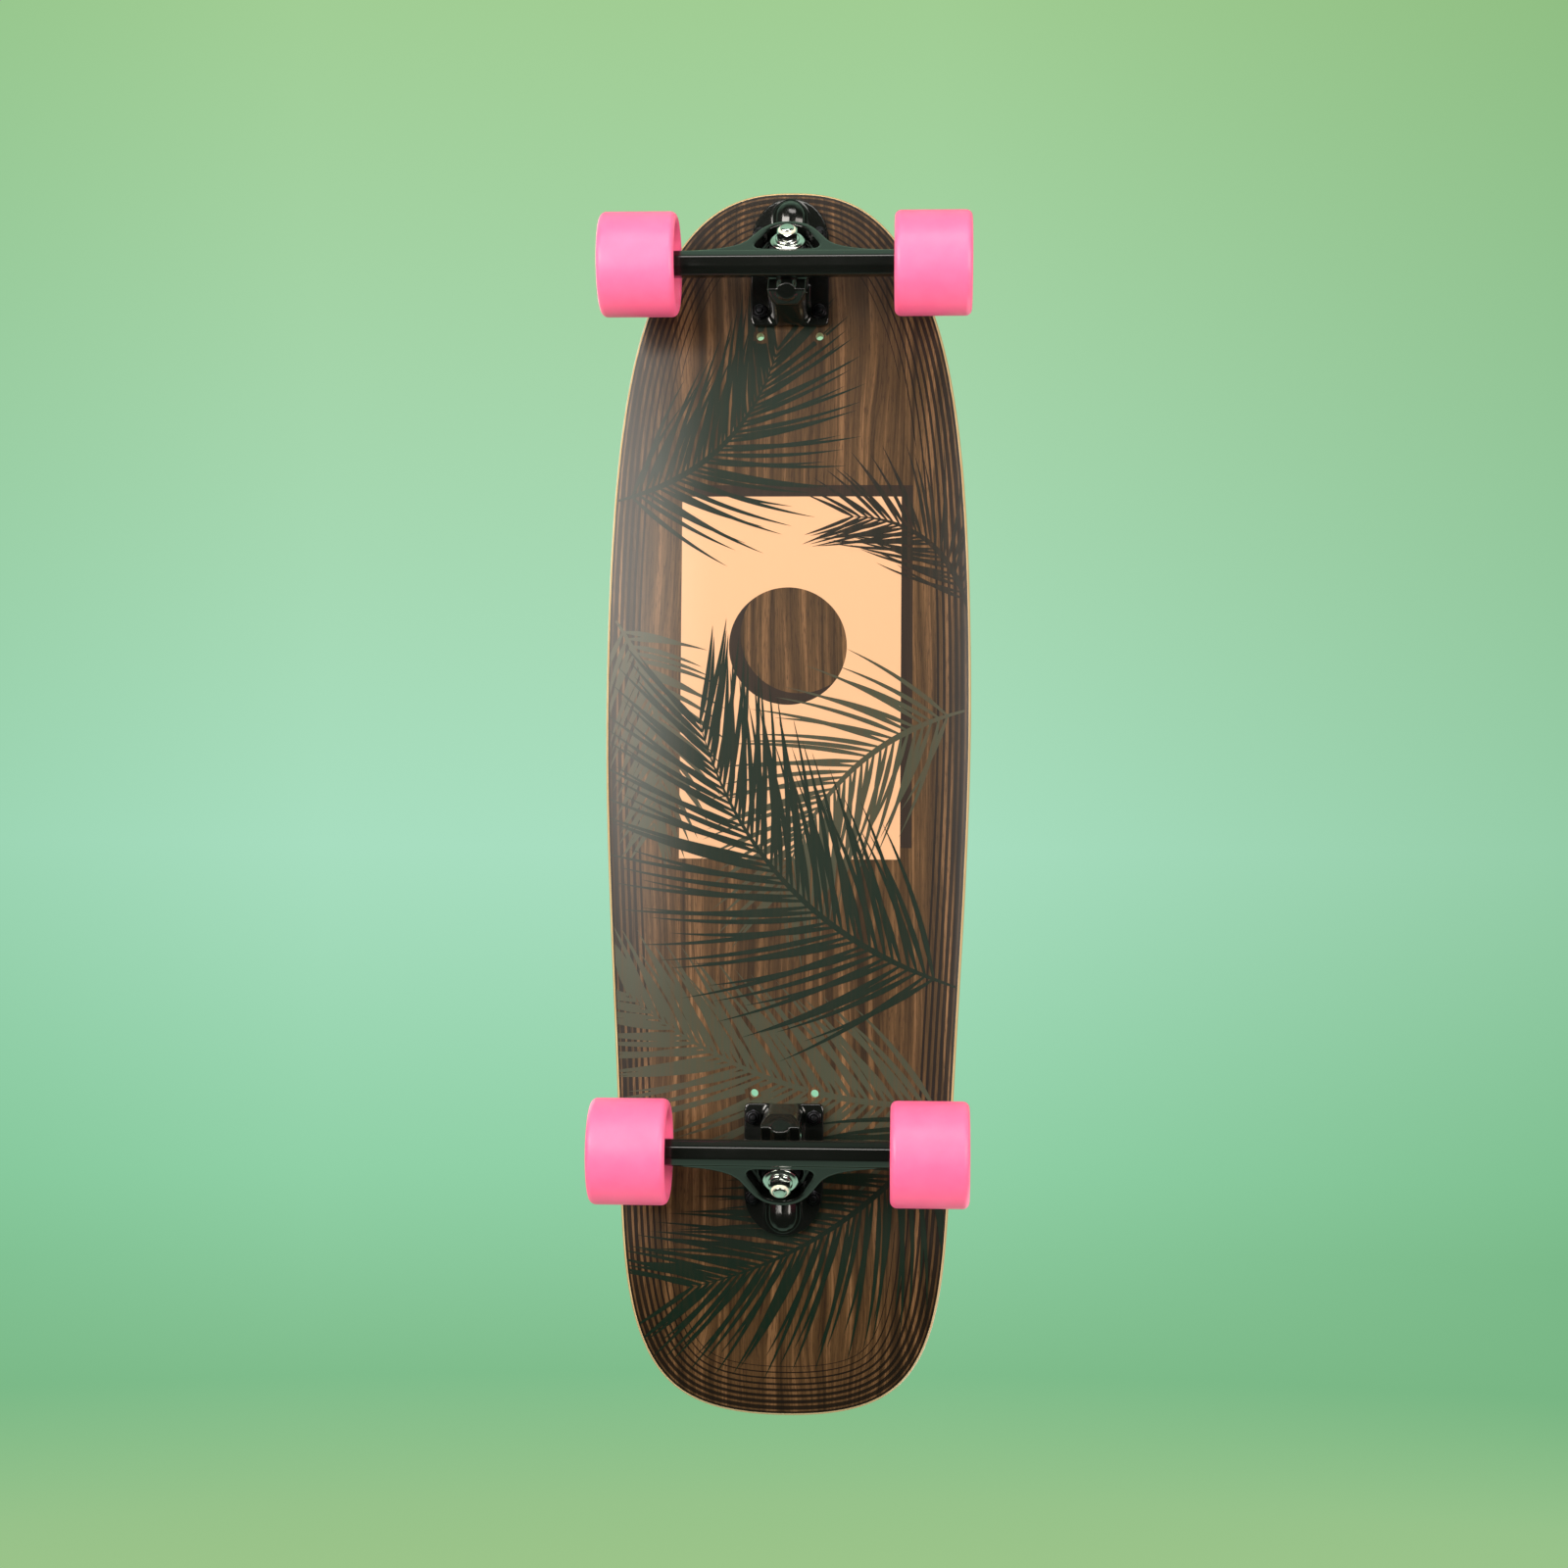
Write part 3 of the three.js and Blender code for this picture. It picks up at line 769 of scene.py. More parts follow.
# ---------------------------------------------------------------- deck
@dataclass
class Deck:
    """The board: maple plies, walnut sheet with its print, and grip tape, in millimetres."""

    half_length: float = 424.0
    half_width: float = 126.5
    underside: float = 95.0
    top: float = 106.4
    skin: float = 0.8
    edge_radius: float = 3.0
    veneer_inset: float = 1.7
    grip_inset: float = 1.0
    concave_flat: float = 50.0
    concave_rise: float = 7.0
    kick_start: float = -300.0
    kick_radius: float = 200.0
    kick_degrees: float = 18.0
    columns: int = 440
    band: float = 39.0
    hole: float = 2.7
    head: float = 4.9
    spare_step: float = 15.9
    curve_steps: int = 300
    inner_steps: int = 12
    band_steps: int = 9
    round_steps: int = 5

    def __post_init__(self) -> None:
        """Samples the outline at even steps."""
        w, e = self.half_width, self.half_length
        curves = (
            ((-e, 0), (-e, 100), (-377, 109), (-236, 114)),
            ((-236, 114), (-153, 117), (-37, w), (62, w)),
            ((62, w), (258, w), (319, 109.7), (357.5, 92.5)),
            ((357.5, 92.5), (421.5, 64), (e, 26), (e, 0)),
        )
        half = []
        for curve in curves:
            a, b, c, d = (Vector(p) for p in curve)
            for i in range(self.curve_steps):
                t = i / self.curve_steps
                s = 1 - t
                half.append(a * s**3 + b * 3 * s * s * t + c * 3 * s * t * t + d * t**3)
        half.append(Vector((e, 0)))
        self.side = [(p.x, p.y) for p in half]
        loop = half + [Vector((p.x, -p.y)) for p in reversed(half[1:-1])]
        lengths = [0.0]
        for one, two in zip(loop, loop[1:] + loop[:1]):
            lengths.append(lengths[-1] + (two - one).length)
        self.outline: list[Vector] = []
        at = 0
        for i in range(self.columns):
            goal = lengths[-1] * i / self.columns
            while lengths[at + 1] < goal:
                at += 1
            share = (goal - lengths[at]) / (lengths[at + 1] - lengths[at])
            self.outline.append(loop[at].lerp(loop[(at + 1) % len(loop)], share))
        self.tree = kdtree.KDTree(len(loop))
        for index, p in enumerate(loop):
            self.tree.insert((p.x, p.y, 0), index)
        self.tree.balance()

    def half_at(self, x: float) -> float:
        """Gives the outline's half width.

        Args:
            x: Lengthwise place.

        Returns:
            The half width there.
        """
        index = max(1, min(len(self.side) - 1, bisect.bisect(self.side, (x, 0.0))))
        (x0, y0), (x1, y1) = self.side[index - 1], self.side[index]
        return y0 + (y1 - y0) * (x - x0) / max(1e-6, x1 - x0)

    def warp(self, x: float, y: float) -> float:
        """Gives the rise of the kick and the concave at a place.

        Args:
            x: Lengthwise place.
            y: Crosswise place.

        Returns:
            The rise.
        """
        angle = math.radians(self.kick_degrees)
        run, bend = max(0.0, self.kick_start - x), self.kick_radius * math.sin(angle)
        if run < bend:
            kick = self.kick_radius - math.sqrt(self.kick_radius**2 - run**2)
        else:
            kick = self.kick_radius * (1 - math.cos(angle)) + (run - bend) * math.tan(angle)
        reach = max(0.0, abs(y) - self.concave_flat) / (self.half_width - self.concave_flat)
        return kick + self.concave_rise * reach**2

    def offset(self, share: float, inset: float) -> Vector:
        """Gives a place inside the outline.

        Args:
            share: Share of the way round.
            inset: Distance inside the outline.

        Returns:
            The place, in the plane.
        """
        index = round(share * self.columns) % self.columns
        along = self.outline[(index + 1) % self.columns] - self.outline[index - 1]
        inward = Vector((along.y, -along.x)).normalized()
        return self.outline[index] + inward * inset

    def row(self, inset: float, height: float, inner: float = 0.0) -> Row:
        """Gives a row of the deck's skin.

        Args:
            inset: Distance inside the outline.
            height: Height above the ground before the warp.
            inner: Share of the way from the inset to the middle line.

        Returns:
            The row.
        """

        def place(share: float) -> tuple[float, float, float]:
            """Gives a place on the row."""
            spot = self.offset(share, inset)
            spot = spot.lerp(Vector((spot.x * 0.86, 0)), inner)
            return spot.x, spot.y, height + self.warp(spot.x, spot.y)

        return place

    def layer(
        self, low: float, high: float, inset: float, low_round: float, high_round: float
    ) -> bmesh.types.BMesh:
        """Makes one layer with rounded rims.

        Args:
            low: Bottom height.
            high: Top height.
            inset: Distance inside the outline.
            low_round: Rounding of the bottom rim.
            high_round: Rounding of the top rim.

        Returns:
            The layer.
        """

        def face(height: float, rim: float) -> list[Row]:
            """Gives the rows of a face, from the middle out."""
            inner, outer = self.inner_steps, self.band_steps
            middle = [self.row(self.band, height, 1 - i / inner) for i in range(inner)]
            reach = inset + rim - self.band
            steps = [self.band + reach * i / outer for i in range(outer + 1)]
            return middle + [self.row(step, height) for step in steps]

        def rim(height: float, radius: float, side: int) -> list[Row]:
            """Gives the rows of a rounded rim, from its face to its wall."""
            made = []
            for i in range(1, self.round_steps + 1):
                angle = math.pi / 2 * i / self.round_steps
                depth = inset + radius * (1 - math.sin(angle))
                made.append(self.row(depth, height + side * radius * (1 - math.cos(angle))))
            return made

        rows = face(low, low_round) + rim(low, low_round, 1)
        rows += list(reversed(face(high, high_round) + rim(high, high_round, -1)))
        return wrapped(self.columns, rows)

    def holes(self) -> list[tuple[float, float, bool]]:
        """Gives the place of each hole, and whether a bolt sits in it."""
        spots = []
        for end, outboard in (("front", 1), ("rear", -1)):
            for side in ("left", "right"):
                for row in ("inner", "outer"):
                    low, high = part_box(f"bolt_{end}_{row}_{side}")
                    x, y = (low.x + high.x) / 2 / MM, (low.y + high.y) / 2 / MM
                    spots += [(x, y, True), (x - outboard * self.spare_step, y, False)]
        return spots

    def drilled(self, mesh: bmesh.types.BMesh, name: str) -> bpy.types.Mesh:
        """Drills the bolt holes and the spare holes through a layer.

        Args:
            mesh: The layer.
            name: A name for the work.

        Returns:
            The drilled mesh.
        """
        tools = bmesh.new()
        below, above = self.underside - 5, self.top + 5
        for x, y, bolted in self.holes():
            profile = [(0, below), (self.hole, below)]
            if bolted:
                profile += [(self.hole, self.top - 2.9), (self.head, self.top - 0.3)]
                profile += [(self.head, above), (0, above)]
            else:
                profile += [(self.hole, above), (0, above)]
            tool = turned(profile, 0.0, 24, closed=False)
            bmesh.ops.translate(tool, verts=tool.verts, vec=(x * MM, y * MM, 0))
            part = bpy.data.meshes.new("drill")
            tool.to_mesh(part)
            tool.free()
            tools.from_mesh(part)
        drill = loose(tools, name + "_drill")
        blank = loose(mesh, name + "_blank")
        cut = blank.modifiers.new("drill", "BOOLEAN")
        cut.operation, cut.solver, cut.object = "DIFFERENCE", "EXACT", drill
        made = applied(blank)
        bpy.data.objects.remove(drill)
        return made

    def marked(self, mesh: bpy.types.Mesh) -> bpy.types.Mesh:
        """Writes each vertex's distance to the outline and height in the board.

        Args:
            mesh: The layer's mesh.

        Returns:
            The same mesh.
        """
        edge = mesh.attributes.new("edge_mm", "FLOAT", "POINT")
        ply = mesh.attributes.new("ply_mm", "FLOAT", "POINT")
        for vert in mesh.vertices:
            x, y, z = vert.co / MM
            edge.data[vert.index].value = self.tree.find((x, y, 0))[2]
            ply.data[vert.index].value = z - self.underside - self.warp(x, y)
        return mesh

    def build(self) -> None:
        """Builds the three layers."""
        half = self.skin / 2
        layers = (
            ("maple_laminate", "deck_core", self.underside + half, self.top - self.skin, 0.0,
             self.edge_radius, 1.6, Stock.MAPLE, "maple_core"),
            ("walnut_sheet", "bottom_veneer", self.underside, self.underside + self.skin,
             self.veneer_inset, 0.25, 0.05, Stock.WALNUT, "walnut_veneer"),
            ("grip_sheet", "grip_tape", self.top - self.skin, self.top, self.grip_inset,
             0.05, 0.3, Stock.GRIP, "grip_tape"),
        )  # fmt: skip
        for name, node, low, high, inset, below, above, stock, slot in layers:
            blank = self.layer(low, high, inset, below, above)
            mesh = self.marked(self.drilled(blank, name))
            piece(name, mesh, stock, "deck", [node])


# ---------------------------------------------------------------- printed fronds
@dataclass(frozen=True)
class Frond:
    """One printed palm frond: a bowed stem with narrow leaflets on both sides."""

    root: tuple[float, float]
    tip: tuple[float, float]
    bow: float
    leaf: float
    tone: Stock
    leaflets: int = 30
    width: float = 3.4
    spread: float = 58.0


@dataclass
class Print:
    """The fronds printed across the walnut, as thin skins of ink that lie on the deck."""

    deck: Deck
    inset: float = 2.6
    ink: float = 0.010
    step: float = 0.040
    stagger: float = 0.0012
    turns: int = 23
    rim: float = 0.3
    stem: float = 4.2
    leaf_steps: int = 24
    fronds: tuple[Frond, ...] = (
        Frond((-208, 117), (-132, -112), -24, 96, Stock.FROND_OLIVE, 38, 4.4),
        Frond((62, 122), (-66, -4), 26, 92, Stock.FROND_OLIVE, 32, 3.3),
        Frond((124, -120), (-20, -92), -16, 60, Stock.FROND_OLIVE, 26, 3.6),
        Frond((208, -120), (316, -8), 24, 92, Stock.FROND_DEEP, 34, 3.4),
        Frond((132, 124), (196, 42), 20, 66, Stock.FROND_DUSK, 24, 2.6),
        Frond((-128, 118), (58, -62), -36, 124, Stock.FROND_DEEP, 44, 3.9),
        Frond((-208, 116), (-334, -66), -22, 104, Stock.FROND_DEEP, 40, 3.5),
    )

    def __post_init__(self) -> None:
        """Finds the spare holes."""
        self.spares = [Vector((x, y)) for x, y, bolted in self.deck.holes() if not bolted]

    def blade(
        self, mesh: bmesh.types.BMesh, spine: Sequence[Vector], width: float, turn: int
    ) -> None:
        """Adds one blade that is pointed at its end.

        Args:
            mesh: The frond's mesh.
            spine: Where it starts, bends and ends, in millimetres.
            width: Its greatest width.
            turn: Its turn in the print, so that no two blades lie in one plane.
        """
        start, middle, end = spine
        made = bmesh.ops.create_grid(mesh, x_segments=self.leaf_steps, y_segments=1, size=0.5)
        for vert in made["verts"]:
            t, side = vert.co.x + 0.5, math.copysign(1.0, vert.co.y)
            spot = start * (1 - t) ** 2 + middle * 2 * t * (1 - t) + end * t**2
            along = ((middle - start) * (1 - t) + (end - middle) * t).normalized()
            half = width / 2 * min(1.0, 0.35 + 3 * t) * (1 - t**2.2) + 0.04
            spot = spot + Vector((-along.y, along.x)) * side * half
            flat = self.kept(spot)
            vert.co = Vector((flat.x, flat.y, -self.stagger * turn))

    def kept(self, spot: Vector) -> Vector:
        """Moves a place that is past the veneer's rim back on to it.

        Args:
            spot: The place.

        Returns:
            The place, or the one beside it on the rim.
        """
        reach = self.deck.half_at(spot.x) - self.inset
        return Vector((spot.x, max(-reach, min(reach, spot.y))))

    def reaches(self, face: bmesh.types.BMFace, spot: Vector) -> bool:
        """Tells whether a face of ink comes over a spare hole.

        Args:
            face: The face, in millimetres.
            spot: The hole's centre.

        Returns:
            Whether any of it is within the hole's rim.
        """
        centre = spot.to_3d()
        first, *others = (vert.co.xy.to_3d() for vert in face.verts)
        return any(
            (closest_point_on_tri(centre, first, second, third) - centre).length
            < self.deck.hole + self.rim
            for second, third in zip(others, others[1:])
        )

    def frond(self, spec: Frond, layer: int) -> bmesh.types.BMesh:
        """Makes one frond.

        Args:
            spec: Its sizes.
            layer: Which skin of ink it is, from the wood out.

        Returns:
            The frond's closed skin.
        """
        mesh = bmesh.new()
        root, tip = Vector(spec.root), Vector(spec.tip)
        across = Vector((root.y - tip.y, tip.x - root.x)).normalized()
        bend = (root + tip) / 2 + across * spec.bow * 2
        self.blade(mesh, (root, bend, tip), self.stem, self.turns)
        for index in range(spec.leaflets):
            t = 0.06 + 0.92 * index / (spec.leaflets - 1)
            spot = root * (1 - t) ** 2 + bend * 2 * t * (1 - t) + tip * t**2
            along = ((bend - root) * (1 - t) + (tip - bend) * t).normalized()
            length = spec.leaf * (0.45 + 0.55 * math.sin(math.pi * min(1.0, 0.22 + t * 0.72)))
            for side in (-1, 1):
                jitter = math.sin(index * 2.4 + side)
                angle = math.radians(spec.spread - 30 * t + 4 * jitter) * side
                cos, sin = math.cos(angle), math.sin(angle)
                aim = Vector((along.x * cos - along.y * sin, along.x * sin + along.y * cos))
                reach = length * (1 + 0.08 * jitter)
                curl = aim.lerp(along, 0.28).normalized()
                spine = (spot, spot + aim * reach * 0.5, spot + (aim + curl) * reach * 0.5)
                turn = (2 * index + (side > 0)) % self.turns
                self.blade(mesh, spine, spec.width, turn)
        bmesh.ops.dissolve_degenerate(mesh, edges=mesh.edges, dist=0.02)
        gone = [face for face in mesh.faces if any(self.reaches(face, s) for s in self.spares)]
        bmesh.ops.delete(mesh, geom=gone, context="FACES")
        for face in mesh.faces:
            if face.normal.z > 0:
                face.normal_flip()
        base = self.deck.underside - self.step * (layer + 1)
        low = bmesh.ops.extrude_face_region(mesh, geom=mesh.faces[:], use_keep_orig=True)
        fresh = {v for v in low["geom"] if isinstance(v, bmesh.types.BMVert)}
        for vert in mesh.verts:
            lift = 0 if vert in fresh else self.ink
            height = base + lift + vert.co.z + self.deck.warp(vert.co.x, vert.co.y)
            vert.co = Vector((vert.co.x, vert.co.y, height)) * MM
        bmesh.ops.recalc_face_normals(mesh, faces=mesh.faces)
        return mesh

    def build(self) -> None:
        """Prints every frond."""
        for layer, spec in enumerate(self.fronds):
            mesh = self.frond(spec, layer)
            piece(f"frond_print_{layer + 1}", mesh, spec.tone, "deck")


# ---------------------------------------------------------------- trucks
@dataclass
class Truck:
    """One truck: castings, the stack on its kingpin, its axle and its bolts, in millimetres."""

    end: str
    x: float
    outboard: int
    underside: float = 95.0
    seat: tuple[float, float] = (-1.0, 30.5)
    lean_degrees: float = 45.0
    pin: float = 4.76
    bore: float = 5.06
    bent_bore: float = 6.9
    voxel: float = 0.75

    @property
    def frame(self) -> Matrix:
        """Places the truck frame: +X outboard and +Z away from the deck."""
        axis = "X" if self.outboard > 0 else "Y"
        move = Matrix.Translation((self.x * MM, 0, self.underside * MM))
        return move @ Matrix.Rotation(math.pi, 4, axis)

    @property
    def steering(self) -> Matrix:
        """Places the steering frame: its +Z up the kingpin."""
        move = Matrix.Translation((self.seat[0] * MM, 0, self.seat[1] * MM))
        return self.frame @ move @ Matrix.Rotation(math.radians(self.lean_degrees), 4, "Y")

    @property
    def hanger_body(self) -> str:
        """Names the body that steers."""
        return f"{self.end}_truck_hanger"

    def casting(self, node: str, frame_at: Matrix, passes: int) -> bpy.types.Mesh:
        """Gives a CAD casting its rounded corners.

        Args:
            node: The CAD node.
            frame_at: The frame that its flat faces line up with.
            passes: How often its skin is smoothed.

        Returns:
            The casting's mesh.
        """
        copy = bmesh.new()
        copy.from_mesh(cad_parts[node].data)
        bmesh.ops.remove_doubles(copy, verts=copy.verts, dist=WELD)
        bmesh.ops.transform(copy, matrix=frame_at.inverted(), verts=copy.verts)
        blank = loose(copy, node + "_blank")
        skin = blank.modifiers.new("skin", "REMESH")
        skin.mode, skin.voxel_size, skin.use_smooth_shade = "VOXEL", self.voxel * MM, True
        ease = blank.modifiers.new("ease", "SMOOTH")
        ease.factor, ease.iterations = 0.5, passes
        made = applied(blank)
        made.transform(frame_at)
        return made

    def castings(self) -> None:
        """Builds the baseplate and the hanger."""
        for part, at, passes, body in (
            ("baseplate", self.frame, 8, "deck"), ("hanger", self.steering, 8, self.hanger_body)
        ):
            node = f"{self.end}_{part}"
            mesh = self.casting(node, at, passes)
            piece(node + "_casting", mesh, Stock.POWDER, body, [node],
                  crease=180)  # fmt: skip

    def stack(self) -> None:
        """Builds what sits on the kingpin, from the baseplate out."""
        bore, pin, wide = self.bore, self.pin, self.bent_bore
        barrel = [(bore, -19.7), (10.6, -19.7), (11.4, -18.6), (13.0, -16), (13.6, -12), (13.0, -8),
                  (11.4, -5.4), (10.6, -4.3), (wide, -4.3), (wide, -9), (wide, -14),
                  (bore + 0.6, -17)]  # fmt: skip
        cone = [(wide, 4.3), (10.6, 4.3), (12.6, 6.2), (13.4, 9.0), (12.8, 12.6), (11.3, 16.8),
                (10.6, 18.2), (bore, 18.2), (bore + 0.6, 16), (wide, 13), (wide, 8)]  # fmt: skip
        for name, profile, ends in (
            ("board_bushing_barrel", barrel, (-19.7, -4.3)),
            ("road_bushing_cone", cone, (18.2, 4.3)),
        ):
            start, end = (self.steering @ Vector((0, 0, height * MM)) for height in ends)
            node = f"{self.end}_{name.rpartition('_')[0]}"
            piece(f"{self.end}_{name}", turned(profile, 0.9), Stock.BUSHING, "deck",
                  [node], self.steering,
                  bend=(self.hanger_body, start, end))  # fmt: skip
        dish = [(bore, 19.0), (9.4, 19.0), (11.4, 18.6), (11.6, 17.6), (12.3, 17.5), (12.0, 19.6),
                (10.4, 20.5), (bore, 20.5)]  # fmt: skip
        plain = ring(bore, 12.5, -22, -20)
        flange = [(bore, 20.8), (8.2, 20.8), (8.2, 21.7), (6.7, 23.0), (bore, 23.0)]
        collar = [(pin + 0.05, 27.0), (6.1, 27.0), (5.7, 28.6), (pin + 0.05, 28.8)]
        for name, profile, soft, stock, nodes in (
            ("board_washer_disc", plain, 0.5, Stock.ZINC, [f"{self.end}_board_washer"]),
            ("road_washer_dish", dish, 0.35, Stock.ZINC, [f"{self.end}_road_washer"]),
            ("nut_flange", flange, 0.3, Stock.ZINC, []),
            ("nut_collar", collar, 0.3, Stock.COLLAR, []),
        ):
            piece(f"{self.end}_{name}", turned(profile, soft), stock, "deck", nodes,
                  self.steering)  # fmt: skip
        cup = [(0, 30.3), (3.9, 30.3), (3.9, 20.5), (5.2, 20.5), (5.2, 31.3), (0, 31.3)]
        inboard = self.steering @ Matrix.Rotation(-math.pi / 2, 4, "Y")
        piece(f"{self.end}_pivot_cup_liner", turned(cup, 0.2, closed=False), Stock.BUSHING,
              "deck", [f"{self.end}_pivot_cup"], inboard)  # fmt: skip
        shank = [(0, -28.5), (pin, -28.5), *threaded(pin, 12, 29.2), (pin - 0.9, 30), (0, 30)]
        piece(f"{self.end}_kingpin_shank", turned(shank, 0.12, closed=False), Stock.ZINC, "deck",
              [f"{self.end}_kingpin"], self.steering)  # fmt: skip
        piece(f"{self.end}_kingpin_head", hexagonal(13, -33.5, -27.5, 0), Stock.ZINC, "deck",
              place=self.steering)  # fmt: skip
        piece(f"{self.end}_kingpin_nut_hex", hexagonal(13.4, 21.8, 27.4, bore), Stock.ZINC, "deck",
              [f"{self.end}_kingpin_nut"], self.steering, crease=25)  # fmt: skip

    def axle(self) -> None:
        """Builds the axle with its threaded ends."""
        low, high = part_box(f"{self.end}_axle")
        half = (high.y - low.y) / 2 / MM
        radius = 3.95
        ends = threaded(radius, half - 11, half - 0.8)
        profile = [(0, -half), (radius - 0.8, -half), *[(r, -h) for r, h in reversed(ends)],
                   *ends, (radius - 0.8, half), (0, half)]  # fmt: skip
        place = Matrix.Translation((low + high) / 2) @ Matrix.Rotation(-math.pi / 2, 4, "X")
        piece(f"{self.end}_axle_rod", turned(profile, 0.12, 48, closed=False), Stock.BEARING,
              self.hanger_body, [f"{self.end}_axle"], place)  # fmt: skip

    def bolts(self) -> None:
        """Builds the four bolts and their lock nuts."""
        for row in ("inner", "outer"):
            for side in ("left", "right"):
                spot = f"{self.end}_{row}_{side}"
                low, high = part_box("bolt_" + spot)
                at = Matrix.Translation(((low.x + high.x) / 2, (low.y + high.y) / 2, 0))
                top, bottom = high.z / MM, low.z / MM
                shank = [(0, bottom), (1.7, bottom), *threaded(2.4, bottom + 0.6, bottom + 9, 0.7),
                         (2.4, top - 2.4), (4.6, top - 0.15), (4.5, top), (2.0, top),
                         (1.7, top - 0.3), (1.55, top - 2.2), (0, top - 2.4)]  # fmt: skip
                piece("bolt_shank_" + spot, turned(shank, 0.06, 36, closed=False), Stock.OXIDE,
                      "deck", ["bolt_" + spot], at)  # fmt: skip
                low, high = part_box("lock_nut_" + spot)
                foot, head = low.z / MM, high.z / MM
                piece("nut_hex_" + spot, hexagonal(9.5, foot + 1.6, head, 2.5, 36), Stock.OXIDE,
                      "deck", ["lock_nut_" + spot], at, crease=25)  # fmt: skip
                collar = [(2.45, foot), (3.6, foot), (4.2, foot + 1.0), (4.2, foot + 1.8),
                          (2.45, foot + 1.8)]  # fmt: skip
                piece("nut_collar_" + spot, turned(collar, 0.4, 36), Stock.OXIDE, "deck",
                      place=at)  # fmt: skip

    def build(self) -> None:
        """Builds the truck."""
        self.castings()
        self.stack()
        self.axle()
        self.bolts()


@dataclass
class Wheel:
    """One wheel: tyre, hub, bearings, spacer, speed rings and axle nut, in millimetres."""

    end: str
    side: str
    radius: float = 35.0
    half: float = 26.0
    lip: float = 4.5
    hub: float = 17.5
    axle: float = 4.1

    @property
    def name(self) -> str:
        """Names the corner of the board that it is at."""
        return f"{self.end}_{self.side}"

    @property
    def place(self) -> Matrix:
        """Places the wheel's frame: +Z outboard."""
        low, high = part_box(f"{self.name}_wheel_tyre")
        turn = -math.pi / 2 if self.side == "left" else math.pi / 2
        return Matrix.Translation((low + high) / 2) @ Matrix.Rotation(turn, 4, "X")

    def tyre(self) -> list[tuple[float, float]]:
        """Gives the tyre's profile, with its rounded lips and hollow faces."""
        seat, r, h, lip = self.hub + 0.05, self.radius, self.half, self.lip
        arc = [math.pi / 2 * i / 8 for i in range(9)]
        inner = [(r - lip + lip * math.sin(a), -h + lip - lip * math.cos(a)) for a in arc]
        outer = [(radius, -height) for radius, height in reversed(inner)]
        return [(seat, -9), (19.2, -11.6), (21.6, -16), (25.6, -22.4), (27.6, -25.2),
                *inner, *outer, (28.4, 25.6), (26.6, 24.2), (22.0, 19.4), (20.2, 17.6),
                (seat, 17)]  # fmt: skip

    def bearing(self, low: float) -> tuple[Profile, Profile]:
        """Gives the profiles of a bearing's rings and shield.

        Args:
            low: Where its inboard face is.

        Returns:
            The steel's profile and the shield's.
        """
        high = low + 7
        steel = [(self.axle, low), (6.0, low), (6.0, low + 0.7), (9.4, low + 0.7), (9.4, low),
                 (11, low), (11, high), (9.4, high), (9.4, high - 0.7), (6.0, high - 0.7),
                 (6.0, high), (self.axle, high)]  # fmt: skip
        return steel, ring(6.15, 9.25, low + 0.25, high - 0.25)

    def build(self) -> None:
        """Builds the wheel."""
        body, wheel, axle = f"{self.name}_wheel", self.name, self.axle
        hub = [(11.05, -9), (14.6, -9), (15.2, -8.2), (self.hub, -8.2), (self.hub, 16.4),
               (15.2, 16.4), (14.6, 17), (11.05, 17), (11.05, 8.9), (9, 8.9), (9, -0.9),
               (11.05, -0.9)]  # fmt: skip
        inner, outer = self.bearing(-8), self.bearing(9)
        nylon, steel = "wheel_core", "bearing_steel"
        rows = (
            ("tyre_cast", self.tyre(), 0.5, 112, Stock.TYRE, "pink_urethane", "wheel_tyre"),
            ("hub_core", hub, 0.4, 80, Stock.HUB, nylon, "wheel_core"),
            ("inner_race", inner[0], 0.25, 64, Stock.BEARING, steel, "inner_bearing"),
            ("outer_race", outer[0], 0.25, 64, Stock.BEARING, steel, "outer_bearing"),
            ("inner_shield", inner[1], 0.2, 64, Stock.SHIELD, steel, None),
            ("outer_shield", outer[1], 0.2, 64, Stock.SHIELD, steel, None),
            ("spacer", ring(axle, 5.4, -1, 9), 0.3, 48, Stock.ZINC, steel, None),
            ("inner_speed_ring", ring(axle, 6.4, -8.95, -8.05), 0.2, 48, Stock.ZINC, steel, None),
            ("outer_speed_ring", ring(axle, 6.4, 16.05, 17.2), 0.2, 48, Stock.ZINC, steel, None),
            ("nut_nylon", [(4.0, 22.2), (5.9, 22.2), (5.4, 23.7), (4.0, 23.8)], 0.3, 48,
             Stock.COLLAR, "zinc_steel", None),
        )  # fmt: skip
        for name, profile, soft, segments, stock, slot, node in rows:
            nodes = [f"{wheel}_{node}"] if node else []
            rides = f"{self.end}_truck_hanger" if name == "nut_nylon" else body
            piece(f"{wheel}_{name}", turned(profile, soft, segments), stock, rides, nodes,
                  self.place)  # fmt: skip
        piece(f"{wheel}_axle_nut_hex", hexagonal(12.7, 17.3, 22.4, self.axle), Stock.ZINC,
              f"{self.end}_truck_hanger", [f"{wheel}_axle_nut"], self.place,
              crease=25)  # fmt: skip


